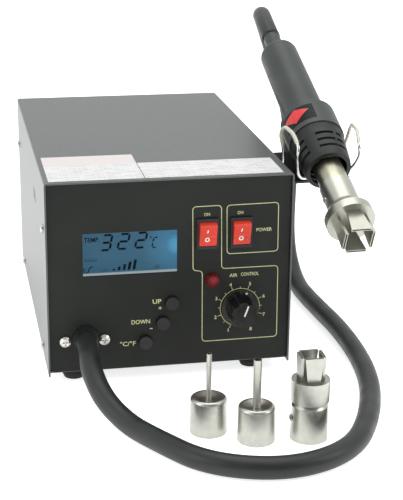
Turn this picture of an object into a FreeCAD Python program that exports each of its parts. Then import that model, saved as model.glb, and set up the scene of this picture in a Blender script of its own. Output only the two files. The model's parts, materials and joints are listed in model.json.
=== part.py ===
import FreeCAD, Part
# Hot air rework station: a steel case with its controls, and a hand piece on a hose in a wire cradle.
# Row frame: millimetres, +X right, +Y to the back, +Z up, origin at the middle of the footprint
# (hose left out), on the table.
import math
import os
import Sketcher
from FreeCAD import Placement, Rotation, Vector

SIZES = {
    # case: its front left lower corner stands at case_left, case_front, foot_height
    "case_left": -119.87, "case_front": -80.9, "foot_height": 8.0,
    "case_width": 178.0, "case_depth": 277.0, "case_height": 144.4, "cover_gauge": 1.2,
    "cover_radius": 2.0, "panel_inset": 2.5, "panel_gauge": 2.0, "panel_gap": 0.4,
    "panel_corner": 4.0, "panel_lift": 2.4, "return_depth": 22.0, "tray_lift": 1.0,
    "tray_gauge": 1.2, "tray_flange": 12.0, "fit_gap": 0.2,
    "foot_radius": 9.0, "foot_inset_x": 20.0, "foot_inset_y": 19.0,
    "slit_width": 2.0, "slit_height": 9.0, "slit_pitch": 5.5, "slit_y": 84.0, "slit_z": 105.5,
    "screw_radius": 1.5, "screw_head": 3.1, "screw_head_height": 2.0, "screw_length": 7.0,
    "screw_hole_gap": 0.3, "screw_high_z": 107.0, "screw_low_z": 6.5, "screw_front_y": 17.0,
    "screw_back_y": 262.0, "screw_low_front_y": 45.0, "screw_low_back_y": 240.0,
    # display
    "lcd_x": 26.2, "lcd_z": 74.0, "lcd_width": 67.8, "lcd_height": 32.0, "lcd_lap": 3.0,
    "lcd_window_gauge": 1.5, "lcd_module_depth": 7.0,
    "board_y": 16.0, "board_gauge": 1.6, "board_left": 22.0, "board_right": 105.0,
    "board_low": 12.0, "board_step": 62.0, "board_high": 113.0, "board_step_x": 58.0,
    # push buttons
    "button_radius": 4.85, "button_gap": 0.3, "button_proud": 3.0, "button_flange": 6.2,
    "button_flange_gauge": 1.0, "button_stem": 1.8, "button_travel": 1.2, "key_side": 6.0,
    "key_height": 3.6, "plunger_height": 0.8,
    "up_x": 90.1, "up_z": 50.9, "down_x": 83.4, "down_z": 35.7, "unit_x": 70.6, "unit_z": 21.6,
    # rocker switches
    "power_x": 115.6, "air_x": 140.3, "switch_z": 102.0, "bezel_width": 15.8,
    "bezel_height": 22.5, "bezel_proud": 2.0, "switch_body_width": 14.2,
    "switch_body_height": 20.8, "switch_depth": 20.0, "rocker_width": 12.3,
    "rocker_radius": 8.8, "rocker_gap": 0.35, "rocker_tilt": 19.0, "rocker_reach": 4.6,
    "rocker_valley": 4.0, "rocker_back": 4.0, "rocker_pivot_y": 1.9, "rocker_well": 11.0,
    # power lamp
    "lamp_x": 119.7, "lamp_z": 66.5, "lamp_radius": 5.5, "lamp_rim": 1.6, "lamp_dome": 2.4,
    "lamp_neck": 4.0, "lamp_depth": 9.0, "lamp_bulb": 2.5,
    # air knob and its potentiometer
    "knob_x": 140.5, "knob_z": 44.0, "knob_skirt": 13.8, "knob_skirt_gauge": 3.0,
    "knob_body": 9.8, "knob_proud": 17.0, "knob_gap": 0.6, "knob_flutes": 6, "flute_radius": 4.2,
    "flute_offset": 12.6, "knob_angle": 22.0, "shaft_radius": 3.0, "shaft_gap": 0.05,
    "pot_radius": 12.0, "pot_depth": 9.0, "bushing_radius": 4.5, "bushing_proud": 4.4,
    "nut_flats": 6.4, "nut_gauge": 2.0,
    # hose outlet
    "gland_x": 27.3, "gland_z": 27.6, "gland_ring": 9.4, "gland_ring_proud": 2.0,
    "gland_nose": 8.7, "gland_proud": 4.5, "gland_bore": 5.5, "gland_depth": 20.0,
    "gland_plate_width": 40.0, "gland_plate_height": 20.0, "gland_plate_gauge": 3.0,
    "gland_screw_head": 4.0, "gland_left_x": 12.5, "gland_right_x": 40.7, "gland_screw_z": 25.8,
    # hand piece, along its own axis: station 0 is the collar's rear rim
    "hand_clear": 33.85, "hand_y": 91.7, "hand_z": 159.8, "hand_pitch": 24.64, "hand_yaw": 2.49,
    "grip_front_radius": 16.0, "grip_back_radius": 15.2, "grip_length": 93.7,
    "grip_wall": 2.4, "grip_shoulder": 11.0, "boot_radius": 6.9, "boot_proud": 18.9,
    "collar_radius": 21.7, "collar_length": 27.0, "collar_wall": 3.0,
    "ring_front": 60.0, "ring_back_radius": 20.9, "ring_front_radius": 18.0, "ring_wall": 2.2,
    "ring_slot_width": 2.4, "ring_slot_pitch": 6.6, "ring_slot_station": 37.0,
    "ring_slot_length": 14.0, "ring_slot_columns": 5, "ring_slot_turn": 5.0,
    "pipe_radius": 11.0, "pipe_wall": 0.6, "pipe_front": 100.0,
    "core_radius": 7.5, "core_back": 14.0, "core_front": 92.0, "flange_gauge": 2.0,
    # fitted nozzle
    "nozzle_gap": 0.1, "sleeve_wall": 1.1, "sleeve_back": 79.0, "sleeve_front": 103.0,
    "disc_radius": 18.0, "disc_back": 110.0, "disc_front": 118.0, "nozzle_wall": 0.8,
    "duct_length": 19.0, "duct_base": 10.6, "duct_tip": 15.0, "duct_half_span": 11.3,
    "duct_thickness": 2.2, "nozzle_screw_head": 2.2, "nozzle_screw_height": 1.3,
    # spare nozzles standing on the table
    "spare_radius": 12.6, "spare_wall": 0.8, "spare_height": 25.2,
    "spare_dish": 1.5, "fine_x": 99.4, "fine_y": -87.5, "fine_radius": 1.75, "fine_length": 31.0,
    "wide_x": 128.2, "wide_y": -105.4, "wide_radius": 2.75, "wide_length": 32.3,
    "quad_x": 163.8, "quad_y": -107.8, "quad_sleeve": 12.8,
    "quad_head": 12.9, "quad_head_base": 25.2, "quad_head_top": 42.5, "quad_duct_length": 17.0,
    "quad_duct_base": 8.6, "quad_duct_tip": 12.6, "quad_half_span": 8.4, "quad_duct_thickness": 1.9,
    # holder
    "plate_gauge": 2.0, "plate_drop": 25.0, "plate_back": 5.7, "plate_front": 41.7,
    "plate_reach": 27.0, "flange_drop": 24.0, "holder_gauge": 2.0, "cradle_wire": 1.15,
    "cradle_sleeve": 1.6,
    # inside
    "pump_x": 22.0, "pump_y": 140.0, "pump_z": 12.0, "pump_width": 66.0, "pump_length": 70.0,
    "pump_height": 54.0, "pump_head": 25.0, "pump_head_gauge": 12.0,
    "mount_radius": 6.0, "core_x": 102.0, "core_inset": 81.0, "core_width": 66.0,
    "core_thickness": 22.0, "core_height": 55.0, "core_leg": 22.0, "core_yoke": 11.0,
    "coil_gap": 0.3, "main_x": 92.0, "main_y": 60.0, "main_z": 12.0, "main_width": 76.0,
    "main_length": 100.0, "post_radius": 3.0, "tube_radius": 5.2, "tube_wall": 1.4,
    "inlet_x": 130.0, "inlet_z": 96.0, "fuse_x": 72.0, "fuse_z": 100.0,
    "hose_radius": 7.5, "hose_gap": 0.3,
}

doc = FreeCAD.newDocument("HotAirStation")
sheet = doc.addObject("Spreadsheet::Sheet", "Sizes")
for row, (alias, number) in enumerate(SIZES.items(), start=1):
    sheet.set(f"A{row}", str(number))
    sheet.setAlias(f"A{row}", alias)
doc.recompute()


class Size:
    """A number kept together with the sheet expression that gives it."""

    def __init__(self, number, text):
        self.number = number
        self.text = text

    def __add__(self, other):
        return Size(self.number + number_of(other), f"({self.text} + {text_of(other)})")

    def __radd__(self, other):
        return self + other

    def __sub__(self, other):
        return Size(self.number - number_of(other), f"({self.text} - {text_of(other)})")

    def __rsub__(self, other):
        return Size(number_of(other) - self.number, f"({text_of(other)} - {self.text})")

    def __mul__(self, other):
        return Size(self.number * number_of(other), f"({self.text} * {text_of(other)})")

    def __rmul__(self, other):
        return self * other

    def __truediv__(self, other):
        return Size(self.number / number_of(other), f"({self.text} / {text_of(other)})")

    def __neg__(self):
        return Size(-self.number, f"(0 - {self.text})")


def number_of(size):
    return size.number if isinstance(size, Size) else float(size)


def text_of(size):
    return size.text if isinstance(size, Size) else f"({float(size)})"


class Sheet:
    """The sheet's cells as sizes: d.case_width is the cell with that alias."""

    def __getattr__(self, alias):
        return Size(float(sheet.get(alias)), f"Sizes.{alias}")


d = Sheet()
nodes = {}
case_screws = []
board_standoffs = []
blade_terminals = []


def bind(item, name, size):
    """Tie one property of a document object to the sheet, or set it when it is a plain number."""
    if isinstance(size, Size):
        item.setExpression(name, size.text)
    else:
        setattr(item, name, float(size))


def seat(item, start, turn=None):
    """Put an object at a point whose coordinates may come from the sheet."""
    item.Placement = Placement(vector(start), turn or Rotation())
    for axis, size in zip("xyz", start):
        if isinstance(size, Size):
            item.setExpression(f"Placement.Base.{axis}", size.text)
    return item


def vector(point):
    return Vector(*[number_of(size) for size in point])


TURNS = {
    "z": Rotation(), "-z": Rotation(Vector(1, 0, 0), 180), "x": Rotation(Vector(0, 1, 0), 90),
    "-x": Rotation(Vector(0, 1, 0), -90), "y": Rotation(Vector(1, 0, 0), -90),
    "-y": Rotation(Vector(1, 0, 0), 90),
}


def case(x, y, z):
    """A point measured from the case's front left lower corner."""
    return (d.case_left + x, d.case_front + y, d.foot_height + z)


def block(label, size, corner):
    item = doc.addObject("Part::Box", label)
    for name, length in zip(("Length", "Width", "Height"), size):
        bind(item, name, length)
    return seat(item, corner)


def rod(label, radius, length, start, along="z"):
    item = doc.addObject("Part::Cylinder", label)
    bind(item, "Radius", radius)
    bind(item, "Height", length)
    return seat(item, start, TURNS[along])


def taper(label, first, second, length, start, along="z"):
    item = doc.addObject("Part::Cone", label)
    bind(item, "Radius1", first)
    bind(item, "Radius2", second)
    bind(item, "Height", length)
    return seat(item, start, TURNS[along])


def ball(label, radius, centre):
    item = doc.addObject("Part::Sphere", label)
    bind(item, "Radius", radius)
    return seat(item, centre)


def cut(label, base, *tools):
    item = doc.addObject("Part::Cut", label)
    item.Base = base
    item.Tool = tools[0] if len(tools) == 1 else join(label + "_tools", *tools)
    return item


def join(label, *pieces):
    item = doc.addObject("Part::MultiFuse", label)
    item.Shapes = list(pieces)
    return item


def group(label, *pieces):
    item = doc.addObject("Part::Compound", label)
    item.Links = list(pieces)
    return item


def rounded(label, base, radius, wanted):
    """Round the edges of a Part object that the test picks."""
    doc.recompute()
    item = doc.addObject("Part::Fillet", label)
    item.Base = base
    size = number_of(radius)
    item.Edges = [(i, size, size) for i, e in enumerate(base.Shape.Edges, start=1) if wanted(e)]
    return item


def outline(label, plane, points):
    """A PartDesign body with one closed sketch whose corners are bound to the sheet."""
    body = doc.addObject("PartDesign::Body", label)
    sketch = body.newObject("Sketcher::SketchObject", label + "_sketch")
    origin = [item for item in body.Origin.OriginFeatures if item.Role == plane][0]
    sketch.AttachmentSupport = [(origin, "")]
    sketch.MapMode = "FlatFace"
    corners = [Vector(number_of(x), number_of(y), 0) for x, y in points]
    for start, end in zip(corners, corners[1:] + corners[:1]):
        sketch.addGeometry(Part.LineSegment(start, end))
    for i in range(len(corners)):
        sketch.addConstraint(Sketcher.Constraint("Coincident", i, 2, (i + 1) % len(corners), 1))
    for i, point in enumerate(points):
        for kind, size in zip(("DistanceX", "DistanceY"), point):
            rule = Sketcher.Constraint(kind, -1, 1, i, 1, number_of(size))
            index = sketch.addConstraint(rule)
            if isinstance(size, Size):
                sketch.setExpression(f"Constraints[{index}]", size.text)
    return body, sketch


def turned(label, points):
    """A solid of revolution about Z from (radius, height) corners."""
    body, sketch = outline(label, "XZ_Plane", points)
    lathe = body.newObject("PartDesign::Revolution", label + "_turn")
    lathe.Profile = sketch
    lathe.ReferenceAxis = (sketch, ["V_Axis"])
    lathe.Angle = 360
    doc.recompute()
    return body


def soften(body, radius, wanted):
    """Add a fillet to a body, on the edges that the test picks."""
    tip = body.Tip
    names = [f"Edge{i}" for i, e in enumerate(tip.Shape.Edges, start=1) if wanted(e)]
    fillet = body.newObject("PartDesign::Fillet", body.Name + "_fillet")
    fillet.Base = (tip, names)
    bind(fillet, "Radius", radius)
    doc.recompute()
    return body


def ring_at(height, radius):
    """A test that picks the circular edge at one height and radius about Z."""
    def wanted(edge):
        box = edge.BoundBox
        flat = abs(box.ZMin - number_of(height)) < 0.01 and abs(box.ZMax - number_of(height)) < 0.01
        return flat and abs(box.XMax - number_of(radius)) < 0.01
    return wanted


def runs_along(axis):
    """A test that picks the straight edges along one axis."""
    def wanted(edge):
        box = edge.BoundBox
        spans = {"x": box.XLength, "y": box.YLength, "z": box.ZLength}
        others = [spans[name] for name in spans if name != axis]
        return max(others) < 0.01 < spans[axis]
    return wanted


def node(name, item):
    """Register a sub-part: its label names its file."""
    item.Label = name
    nodes[name] = item
    return item


def pan_screw(label, radius, length, head, height, start, turn):
    """A pan head screw with a cross recess. Local +Z points out of the head."""
    neck = height * 0.55
    dome = height - neck
    shape = join(
        label + "_solid",
        rod(label + "_shank", radius, length, (0, 0, -length)),
        rod(label + "_head", head, neck, (0, 0, 0)),
        taper(label + "_dome", head, head * 0.62, dome, (0, 0, neck)),
    )
    arm = head * 1.1
    slot = head * 0.24
    depth = height * 0.5
    cross = [
        block(label + "_slot_a", (arm, slot, height), (-arm / 2, -slot / 2, height - depth)),
        block(label + "_slot_b", (slot, arm, height), (-slot / 2, -arm / 2, height - depth)),
    ]
    item = cut(label, shape, *cross)
    item.Placement = Placement(vector(start), turn)
    return item


def rounded_path(points, report=""):
    """Straight runs joined by tangent arcs, each as large as its two runs allow."""
    edges = []
    radii = []
    start = points[0]
    for before, corner, after in zip(points, points[1:], points[2:]):
        arriving = corner - before
        leaving = after - corner
        tangent = 0.45 * min(arriving.Length, leaving.Length)
        half = arriving.getAngle(leaving) / 2
        radii.append(tangent / math.tan(half))
        first = corner - Vector(arriving).normalize() * tangent
        last = corner + Vector(leaving).normalize() * tangent
        inward = (Vector(leaving).normalize() - Vector(arriving).normalize()).normalize()
        middle = corner + inward * (radii[-1] / math.cos(half) - radii[-1])
        edges.append(Part.LineSegment(start, first).toShape())
        edges.append(Part.Arc(first, middle, last).toShape())
        start = last
    edges.append(Part.LineSegment(start, points[-1]).toShape())
    if report:
        print(report, "arc radii", " ".join(f"{radius:.1f}" for radius in radii))
    return Part.Wire(edges)


def swept(label, points, radius, report=""):
    """A round bar or tube along a rounded path."""
    wire = rounded_path(points, report)
    spine = doc.addObject("Part::Feature", label + "_path")
    spine.Shape = wire
    section = doc.addObject("Part::Circle", label + "_section")
    bind(section, "Radius", radius)
    heading = points[1] - points[0]
    section.Placement = Placement(points[0], Rotation(Vector(0, 0, 1), heading))
    item = doc.addObject("Part::Sweep", label)
    item.Sections = [section]
    item.Spine = (spine, [f"Edge{i + 1}" for i in range(len(wire.Edges))])
    item.Solid = True
    doc.recompute()
    expected = math.pi * number_of(radius) ** 2 * wire.Length
    print(label, f"length {wire.Length:.1f} volume ratio {item.Shape.Volume / expected:.4f}")
    return item


def frame_of(lateral, upward, forward, origin):
    """A placement whose local X, Y and Z are the three directions given."""
    matrix = FreeCAD.Matrix(
        lateral.x, upward.x, forward.x, origin.x,
        lateral.y, upward.y, forward.y, origin.y,
        lateral.z, upward.z, forward.z, origin.z,
        0, 0, 0, 1,
    )
    return Placement(matrix)


# frames of the hand piece and its holder
PITCH = math.radians(number_of(d.hand_pitch))
YAW = math.radians(number_of(d.hand_yaw))
HAND_ORIGIN = vector(case(d.case_width + d.hand_clear, d.hand_y, d.hand_z))
HAND_SIDE = Vector(math.cos(YAW), math.sin(YAW), 0)
LEVEL_FORWARD = Vector(math.sin(YAW), -math.cos(YAW), 0)
HAND_AXIS = LEVEL_FORWARD * math.cos(PITCH) - Vector(0, 0, math.sin(PITCH))
HAND_UP = LEVEL_FORWARD * math.sin(PITCH) + Vector(0, 0, math.cos(PITCH))
HAND_FRAME = frame_of(HAND_SIDE, HAND_UP, HAND_AXIS, HAND_ORIGIN)
WALL_ORIGIN = vector(case(d.case_width, d.hand_y, d.hand_z))
WALL_FRAME = frame_of(
    Vector(1, 0, 0),
    Vector(0, -math.sin(PITCH), math.cos(PITCH)),
    Vector(0, -math.cos(PITCH), -math.sin(PITCH)),
    WALL_ORIGIN,
)

PANEL_FACE = d.panel_inset
PANEL_BACK = d.panel_inset + d.panel_gauge
REAR_FRONT = d.case_depth - d.panel_inset - d.cover_gauge
INNER_LEFT = d.cover_gauge + d.fit_gap
INNER_WIDTH = d.case_width - INNER_LEFT * 2
TRAY_TOP = d.tray_lift + d.tray_gauge


def holder_screw_points():
    """Where the two holder screws meet the case's right side, in the row frame."""
    stations = (d.plate_back + 9, d.plate_front - 9)
    drop = d.plate_drop + d.flange_drop * 0.6
    return [WALL_FRAME.multVec(vector((0, -drop, station))) for station in stations]


def cover_screw_points():
    """Height and depth of the screws on each side of the cover."""
    return [
        (d.screw_front_y, d.screw_high_z), (d.screw_back_y, d.screw_high_z),
        (d.screw_low_front_y, d.screw_low_z), (d.screw_low_back_y, d.screw_low_z),
    ]


def make_cover():
    outer = block("cover_outer", (d.case_width, d.case_depth, d.case_height), case(0, 0, 0))
    top_z = number_of(d.foot_height + d.case_height)
    along_y = runs_along("y")
    shell = rounded(
        "cover_rounded", outer, d.cover_radius,
        lambda edge: along_y(edge) and abs(edge.BoundBox.ZMax - top_z) < 0.01,
    )
    inner = block(
        "cover_inner",
        (d.case_width - d.cover_gauge * 2, d.case_depth, d.case_height - d.cover_gauge),
        case(d.cover_gauge, 0, 0),
    )
    tools = [inner]
    for i in range(4):
        tools.append(block(
            f"cover_slit_{i}", (d.case_width, d.slit_width, d.slit_height),
            case(0, d.slit_y + d.slit_pitch * i, d.slit_z),
        ))
    hole = d.screw_radius + d.screw_hole_gap
    for i, (y, z) in enumerate(cover_screw_points()):
        tools.append(rod(f"cover_hole_{i}", hole, d.case_width, case(0, y, z), "x"))
    for i, point in enumerate(holder_screw_points()):
        start = (point.x - 5, point.y, point.z)
        tools.append(rod(f"cover_holder_hole_{i}", hole, 10, start, "x"))
    node("top_cover", cut("top_cover_cut", shell, *tools))


def make_tray():
    front = PANEL_BACK + d.fit_gap
    length = REAR_FRONT - d.fit_gap - front
    base = block("tray_solid", (INNER_WIDTH, length, d.tray_flange), case(INNER_LEFT, front, d.tray_lift))
    hollow = block(
        "tray_hollow", (INNER_WIDTH - d.tray_gauge * 2, length, d.tray_flange),
        case(INNER_LEFT + d.tray_gauge, front, TRAY_TOP),
    )
    tools = [hollow]
    for i, (y, z) in enumerate(cover_screw_points()[2:]):
        tools.append(rod(f"tray_hole_{i}", d.screw_radius, d.case_width, case(0, y, z), "x"))
    for i, (x, y) in enumerate(foot_points()):
        tools.append(rod(f"tray_foot_hole_{i}", d.screw_radius, 4, case(x, y, 0)))
    for i, (x, y, name) in enumerate(return_notches()):
        size = (d.cover_gauge + d.fit_gap * 2, d.return_depth + 1, d.tray_flange)
        tools.append(block(name, size, case(x, y, TRAY_TOP)))
    node("base_tray", cut("base_tray_cut", base, *tools))


def return_notches():
    """Room in the tray's flanges for the side returns of the front and rear panels."""
    right = d.case_width - INNER_LEFT - d.cover_gauge - d.fit_gap * 2
    back = REAR_FRONT - d.return_depth
    return [
        (INNER_LEFT, PANEL_BACK, "notch_front_left"), (right, PANEL_BACK, "notch_front_right"),
        (INNER_LEFT, back, "notch_back_left"), (right, back, "notch_back_right"),
    ]


def foot_points():
    xs = (d.foot_inset_x, d.case_width - d.foot_inset_x - 5)
    ys = (d.foot_inset_y, d.case_depth - d.foot_inset_y)
    return [(x, y) for x in xs for y in ys]


def make_feet():
    feet = []
    height = d.foot_height + d.tray_lift
    for i, (x, y) in enumerate(foot_points()):
        pad = turned(f"foot_{i}", [
            (d.screw_head + 0.8, 0), (d.foot_radius * 0.82, 0), (d.foot_radius, d.foot_height * 0.45),
            (d.foot_radius, height), (d.screw_radius + d.screw_hole_gap, height),
            (d.screw_radius + d.screw_hole_gap, height - 3), (d.screw_head + 0.8, height - 3),
        ])
        seat(pad, (d.case_left + x, d.case_front + y, 0))
        feet.append(pad)
        start = (d.case_left + x, d.case_front + y, height - 3)
        case_screws.append(pan_screw(
            f"foot_screw_{i}", d.screw_radius, 6, d.screw_head, 1.8, start, TURNS["-z"],
        ))
    node("rubber_feet", group("rubber_feet_group", *feet))


def make_cover_screws():
    for i, (y, z) in enumerate(cover_screw_points()):
        for side, x, turn in (("left", 0, "-x"), ("right", d.case_width, "x")):
            case_screws.append(pan_screw(
                f"cover_screw_{side}_{i}", d.screw_radius, d.screw_length, d.screw_head,
                d.screw_head_height, case(x, y, z), TURNS[turn],
            ))


def button_centres():
    return {
        "button_up": (d.up_x, d.up_z), "button_down": (d.down_x, d.down_z),
        "button_unit": (d.unit_x, d.unit_z),
    }


def panel_plate(label, front, gauge, high):
    """A panel with rounded lower corners and a return on each side."""
    corner = case(INNER_LEFT, front, d.panel_lift)
    plate = block(label + "_plate", (INNER_WIDTH, gauge, high), corner)
    along_y = runs_along("y")
    low = number_of(d.foot_height + d.panel_lift)
    return rounded(
        label + "_rounded", plate, d.panel_corner,
        lambda edge: along_y(edge) and abs(edge.BoundBox.ZMin - low) < 0.01,
    )


def make_front_panel():
    high = d.case_height - d.cover_gauge - d.panel_gap - d.panel_lift
    pieces = [panel_plate("front", PANEL_FACE, d.panel_gauge, high)]
    for side, x in (("left", INNER_LEFT), ("right", d.case_width - INNER_LEFT - d.cover_gauge)):
        pieces.append(block(
            f"front_return_{side}", (d.cover_gauge, d.return_depth, 100),
            case(x, PANEL_BACK, 24),
        ))
    through = d.panel_gauge * 3
    start_y = PANEL_FACE - d.panel_gauge
    tools = [block(
        "lcd_opening", (d.lcd_width, through, d.lcd_height), case(d.lcd_x, start_y, d.lcd_z),
    )]
    for name, (x, z) in button_centres().items():
        hole = d.button_radius + d.button_gap
        tools.append(rod(name + "_hole", hole, through, case(x, start_y, z), "y"))
    wide = d.switch_body_width + d.fit_gap
    tall = d.switch_body_height + d.fit_gap
    for name, x in (("power", d.power_x), ("air", d.air_x)):
        corner = case(x - wide / 2, start_y, d.switch_z - tall / 2)
        tools.append(block(name + "_opening", (wide, through, tall), corner))
    tools.append(rod("lamp_hole", d.lamp_neck + 0.1, through, case(d.lamp_x, start_y, d.lamp_z), "y"))
    bushing = d.bushing_radius + 0.1
    tools.append(rod("pot_hole", bushing, through, case(d.knob_x, start_y, d.knob_z), "y"))
    gland = d.gland_ring + 0.1
    tools.append(rod("gland_hole", gland, through, case(d.gland_x, start_y, d.gland_z), "y"))
    for name, x in (("left", d.gland_left_x), ("right", d.gland_right_x)):
        start = case(x, start_y, d.gland_screw_z)
        tools.append(rod(f"gland_{name}_hole", 2.2, through, start, "y"))
    point = case(0, d.screw_front_y, d.screw_high_z)
    tools.append(rod("front_side_holes", d.screw_radius, d.case_width, point, "x"))
    node("front_panel", cut("front_panel_cut", join("front_joined", *pieces), *tools))


def make_rear_panel():
    high = d.case_height - d.cover_gauge - d.panel_gap - d.panel_lift
    pieces = [panel_plate("rear", REAR_FRONT, d.cover_gauge, high)]
    for side, x in (("left", INNER_LEFT), ("right", d.case_width - INNER_LEFT - d.cover_gauge)):
        pieces.append(block(
            f"rear_return_{side}", (d.cover_gauge, d.return_depth, 100),
            case(x, REAR_FRONT - d.return_depth, 24),
        ))
    through = 6
    y = REAR_FRONT - 2
    tools = [
        block("inlet_opening", (27.4, through, 20.4), case(d.inlet_x - 13.7, y, d.inlet_z - 10.2)),
        rod("fuse_hole", 6.1, through, case(d.fuse_x, y, d.fuse_z), "y"),
        rod("rear_side_holes", d.screw_radius, d.case_width, case(0, d.screw_back_y, d.screw_high_z), "x"),
    ]
    for side in (-1, 1):
        start = case(d.inlet_x + 20 * side, y, d.inlet_z)
        tools.append(rod(f"inlet_screw_hole_{side + 1}", d.screw_radius, through, start, "y"))
    for i in range(9):
        corner = case(d.case_width / 2 - 48 + i * 11, y, 20)
        tools.append(block(f"rear_slot_{i}", (4, through, 30), corner))
    node("rear_panel", cut("rear_panel_cut", join("rear_joined", *pieces), *tools))


def make_display():
    wide = d.lcd_width + d.lcd_lap * 2
    tall = d.lcd_height + d.lcd_lap * 2
    left = d.lcd_x - d.lcd_lap
    low = d.lcd_z - d.lcd_lap
    node("lcd_window", block(
        "lcd_window_plate", (wide, d.lcd_window_gauge, tall), case(left, PANEL_BACK, low),
    ))
    module_y = PANEL_BACK + d.lcd_window_gauge
    node("lcd_module", block(
        "lcd_case", (wide, d.lcd_module_depth, tall), case(left, module_y, low),
    ))
    high = block(
        "board_upper", (d.board_right - d.board_left, d.board_gauge, d.board_high - d.board_step),
        case(d.board_left, d.board_y, d.board_step),
    )
    low_board = block(
        "board_lower", (d.board_right - d.board_step_x, d.board_gauge, d.board_step - d.board_low),
        case(d.board_step_x, d.board_y, d.board_low),
    )
    node("display_board", join("display_board_joined", high, low_board))
    module_back = module_y + d.lcd_module_depth
    for i, x in enumerate((d.board_left + 5, d.board_right - 24)):
        for j, z in enumerate((d.board_step + 13, d.board_high - 6)):
            start = case(x, module_back, z)
            length = d.board_y - module_back
            board_standoffs.append(rod(f"board_post_{i}{j}", 2, length, start, "y"))


def make_buttons():
    keys = []
    key_y = d.board_y - d.key_height
    plunger_y = key_y - d.plunger_height
    for name, (x, z) in button_centres().items():
        front = PANEL_FACE - d.button_proud
        flange_y = PANEL_BACK + 0.1
        stem_end = plunger_y - d.button_travel - 0.1
        cap = rod(name + "_cap", d.button_radius, flange_y - front, case(x, front, z), "y")
        flange = rod(
            name + "_flange", d.button_flange, d.button_flange_gauge, case(x, flange_y, z), "y",
        )
        stem = rod(name + "_stem", d.button_stem, stem_end - flange_y, case(x, flange_y, z), "y")
        node(name, join(name + "_joined", cap, flange, stem))
        half = d.key_side / 2
        size = (d.key_side, d.key_height, d.key_side)
        keys.append(join(
            name + "_switch",
            block(name + "_switch_box", size, case(x - half, key_y, z - half)),
            rod(name + "_plunger", d.button_stem, d.plunger_height, case(x, plunger_y, z), "y"),
        ))
    node("key_switches", group("key_switches_group", *keys))


def make_switch(name, x):
    """A snap-in rocker switch: its housing, the rocker and three blade terminals."""
    back = PANEL_FACE + d.switch_depth
    lip = block(
        name + "_lip", (d.bezel_width, d.bezel_proud, d.bezel_height),
        case(x - d.bezel_width / 2, PANEL_FACE - d.bezel_proud, d.switch_z - d.bezel_height / 2),
    )
    body = block(
        name + "_body", (d.switch_body_width, d.switch_depth, d.switch_body_height),
        case(x - d.switch_body_width / 2, PANEL_FACE, d.switch_z - d.switch_body_height / 2),
    )
    wide = d.rocker_width + d.rocker_gap * 2
    tall = (d.rocker_radius + d.rocker_gap) * 2
    well = block(
        name + "_well", (wide, d.rocker_well + d.bezel_proud, tall),
        case(x - wide / 2, PANEL_FACE - d.bezel_proud, d.switch_z - tall / 2),
    )
    node(name + "_switch_housing", cut(name + "_housing_cut", join(name + "_solid", lip, body), well))
    disc = rod(
        name + "_rocker_disc", d.rocker_radius, d.rocker_width, (-d.rocker_width / 2, 0, 0), "x",
    )
    # the rocker's front is a shallow valley: it meets the disc's rim at the two tips
    reach = number_of(d.rocker_reach)
    tip = math.sqrt(number_of(d.rocker_radius) ** 2 - reach ** 2)
    slope = math.degrees(math.atan2(reach - number_of(d.rocker_valley), tip))
    tools = []
    for side in (1, -1):
        size = (d.rocker_width * 2, d.rocker_radius * 2, d.rocker_radius * 2)
        slab = block(f"{name}_valley_{side + 1}", size, (0, 0, 0))
        turn = Rotation(Vector(1, 0, 0), slope * side)
        low = -number_of(d.rocker_radius) if side < 0 else -number_of(d.rocker_radius) * 0.2
        corner = Vector(-number_of(d.rocker_width), -number_of(d.rocker_radius) * 2, low)
        valley = Vector(0, -number_of(d.rocker_valley), 0)
        slab.Placement = Placement(valley, turn) * Placement(corner, Rotation())
        tools.append(slab)
    tools.append(block(
        name + "_rocker_rear", (d.rocker_width * 2, d.rocker_radius, d.rocker_radius * 2),
        (-d.rocker_width, d.rocker_back, -d.rocker_radius),
    ))
    rocker = cut(name + "_rocker_cut", disc, *tools)
    pivot = vector(case(x, d.rocker_pivot_y, d.switch_z))
    rocker.Placement = Placement(pivot, Rotation(Vector(1, 0, 0), number_of(d.rocker_tilt)))
    node(name + "_rocker", rocker)
    for i in range(3):
        corner = case(x - 2.4, back, d.switch_z - 6 + i * 6)
        blade_terminals.append(block(f"{name}_blade_{i}", (4.8, 8, 0.8), corner))


def make_switches():
    make_switch("power", d.power_x)
    make_switch("air", d.air_x)


def make_lamp():
    lens = turned("lamp_lens_body", [
        (d.lamp_bulb + 0.3, 0), (d.lamp_neck, 0), (d.lamp_neck, d.lamp_depth),
        (d.lamp_radius, d.lamp_depth), (d.lamp_radius, d.lamp_depth + d.lamp_rim),
        (d.lamp_radius * 0.72, d.lamp_depth + d.lamp_rim + d.lamp_dome),
        (0, d.lamp_depth + d.lamp_rim + d.lamp_dome),
        (0, d.lamp_depth + d.lamp_rim), (d.lamp_bulb + 0.3, d.lamp_depth + d.lamp_rim),
    ])
    seat(lens, case(d.lamp_x, PANEL_FACE + d.lamp_depth, d.lamp_z), TURNS["-y"])
    node("lamp_lens", lens)
    bulb_y = PANEL_FACE + 2.6
    node("lamp_led", join(
        "lamp_led_joined",
        rod("led_tube", d.lamp_bulb, d.lamp_depth, case(d.lamp_x, bulb_y, d.lamp_z), "y"),
        ball("led_dome", d.lamp_bulb, case(d.lamp_x, bulb_y, d.lamp_z)),
    ))


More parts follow.
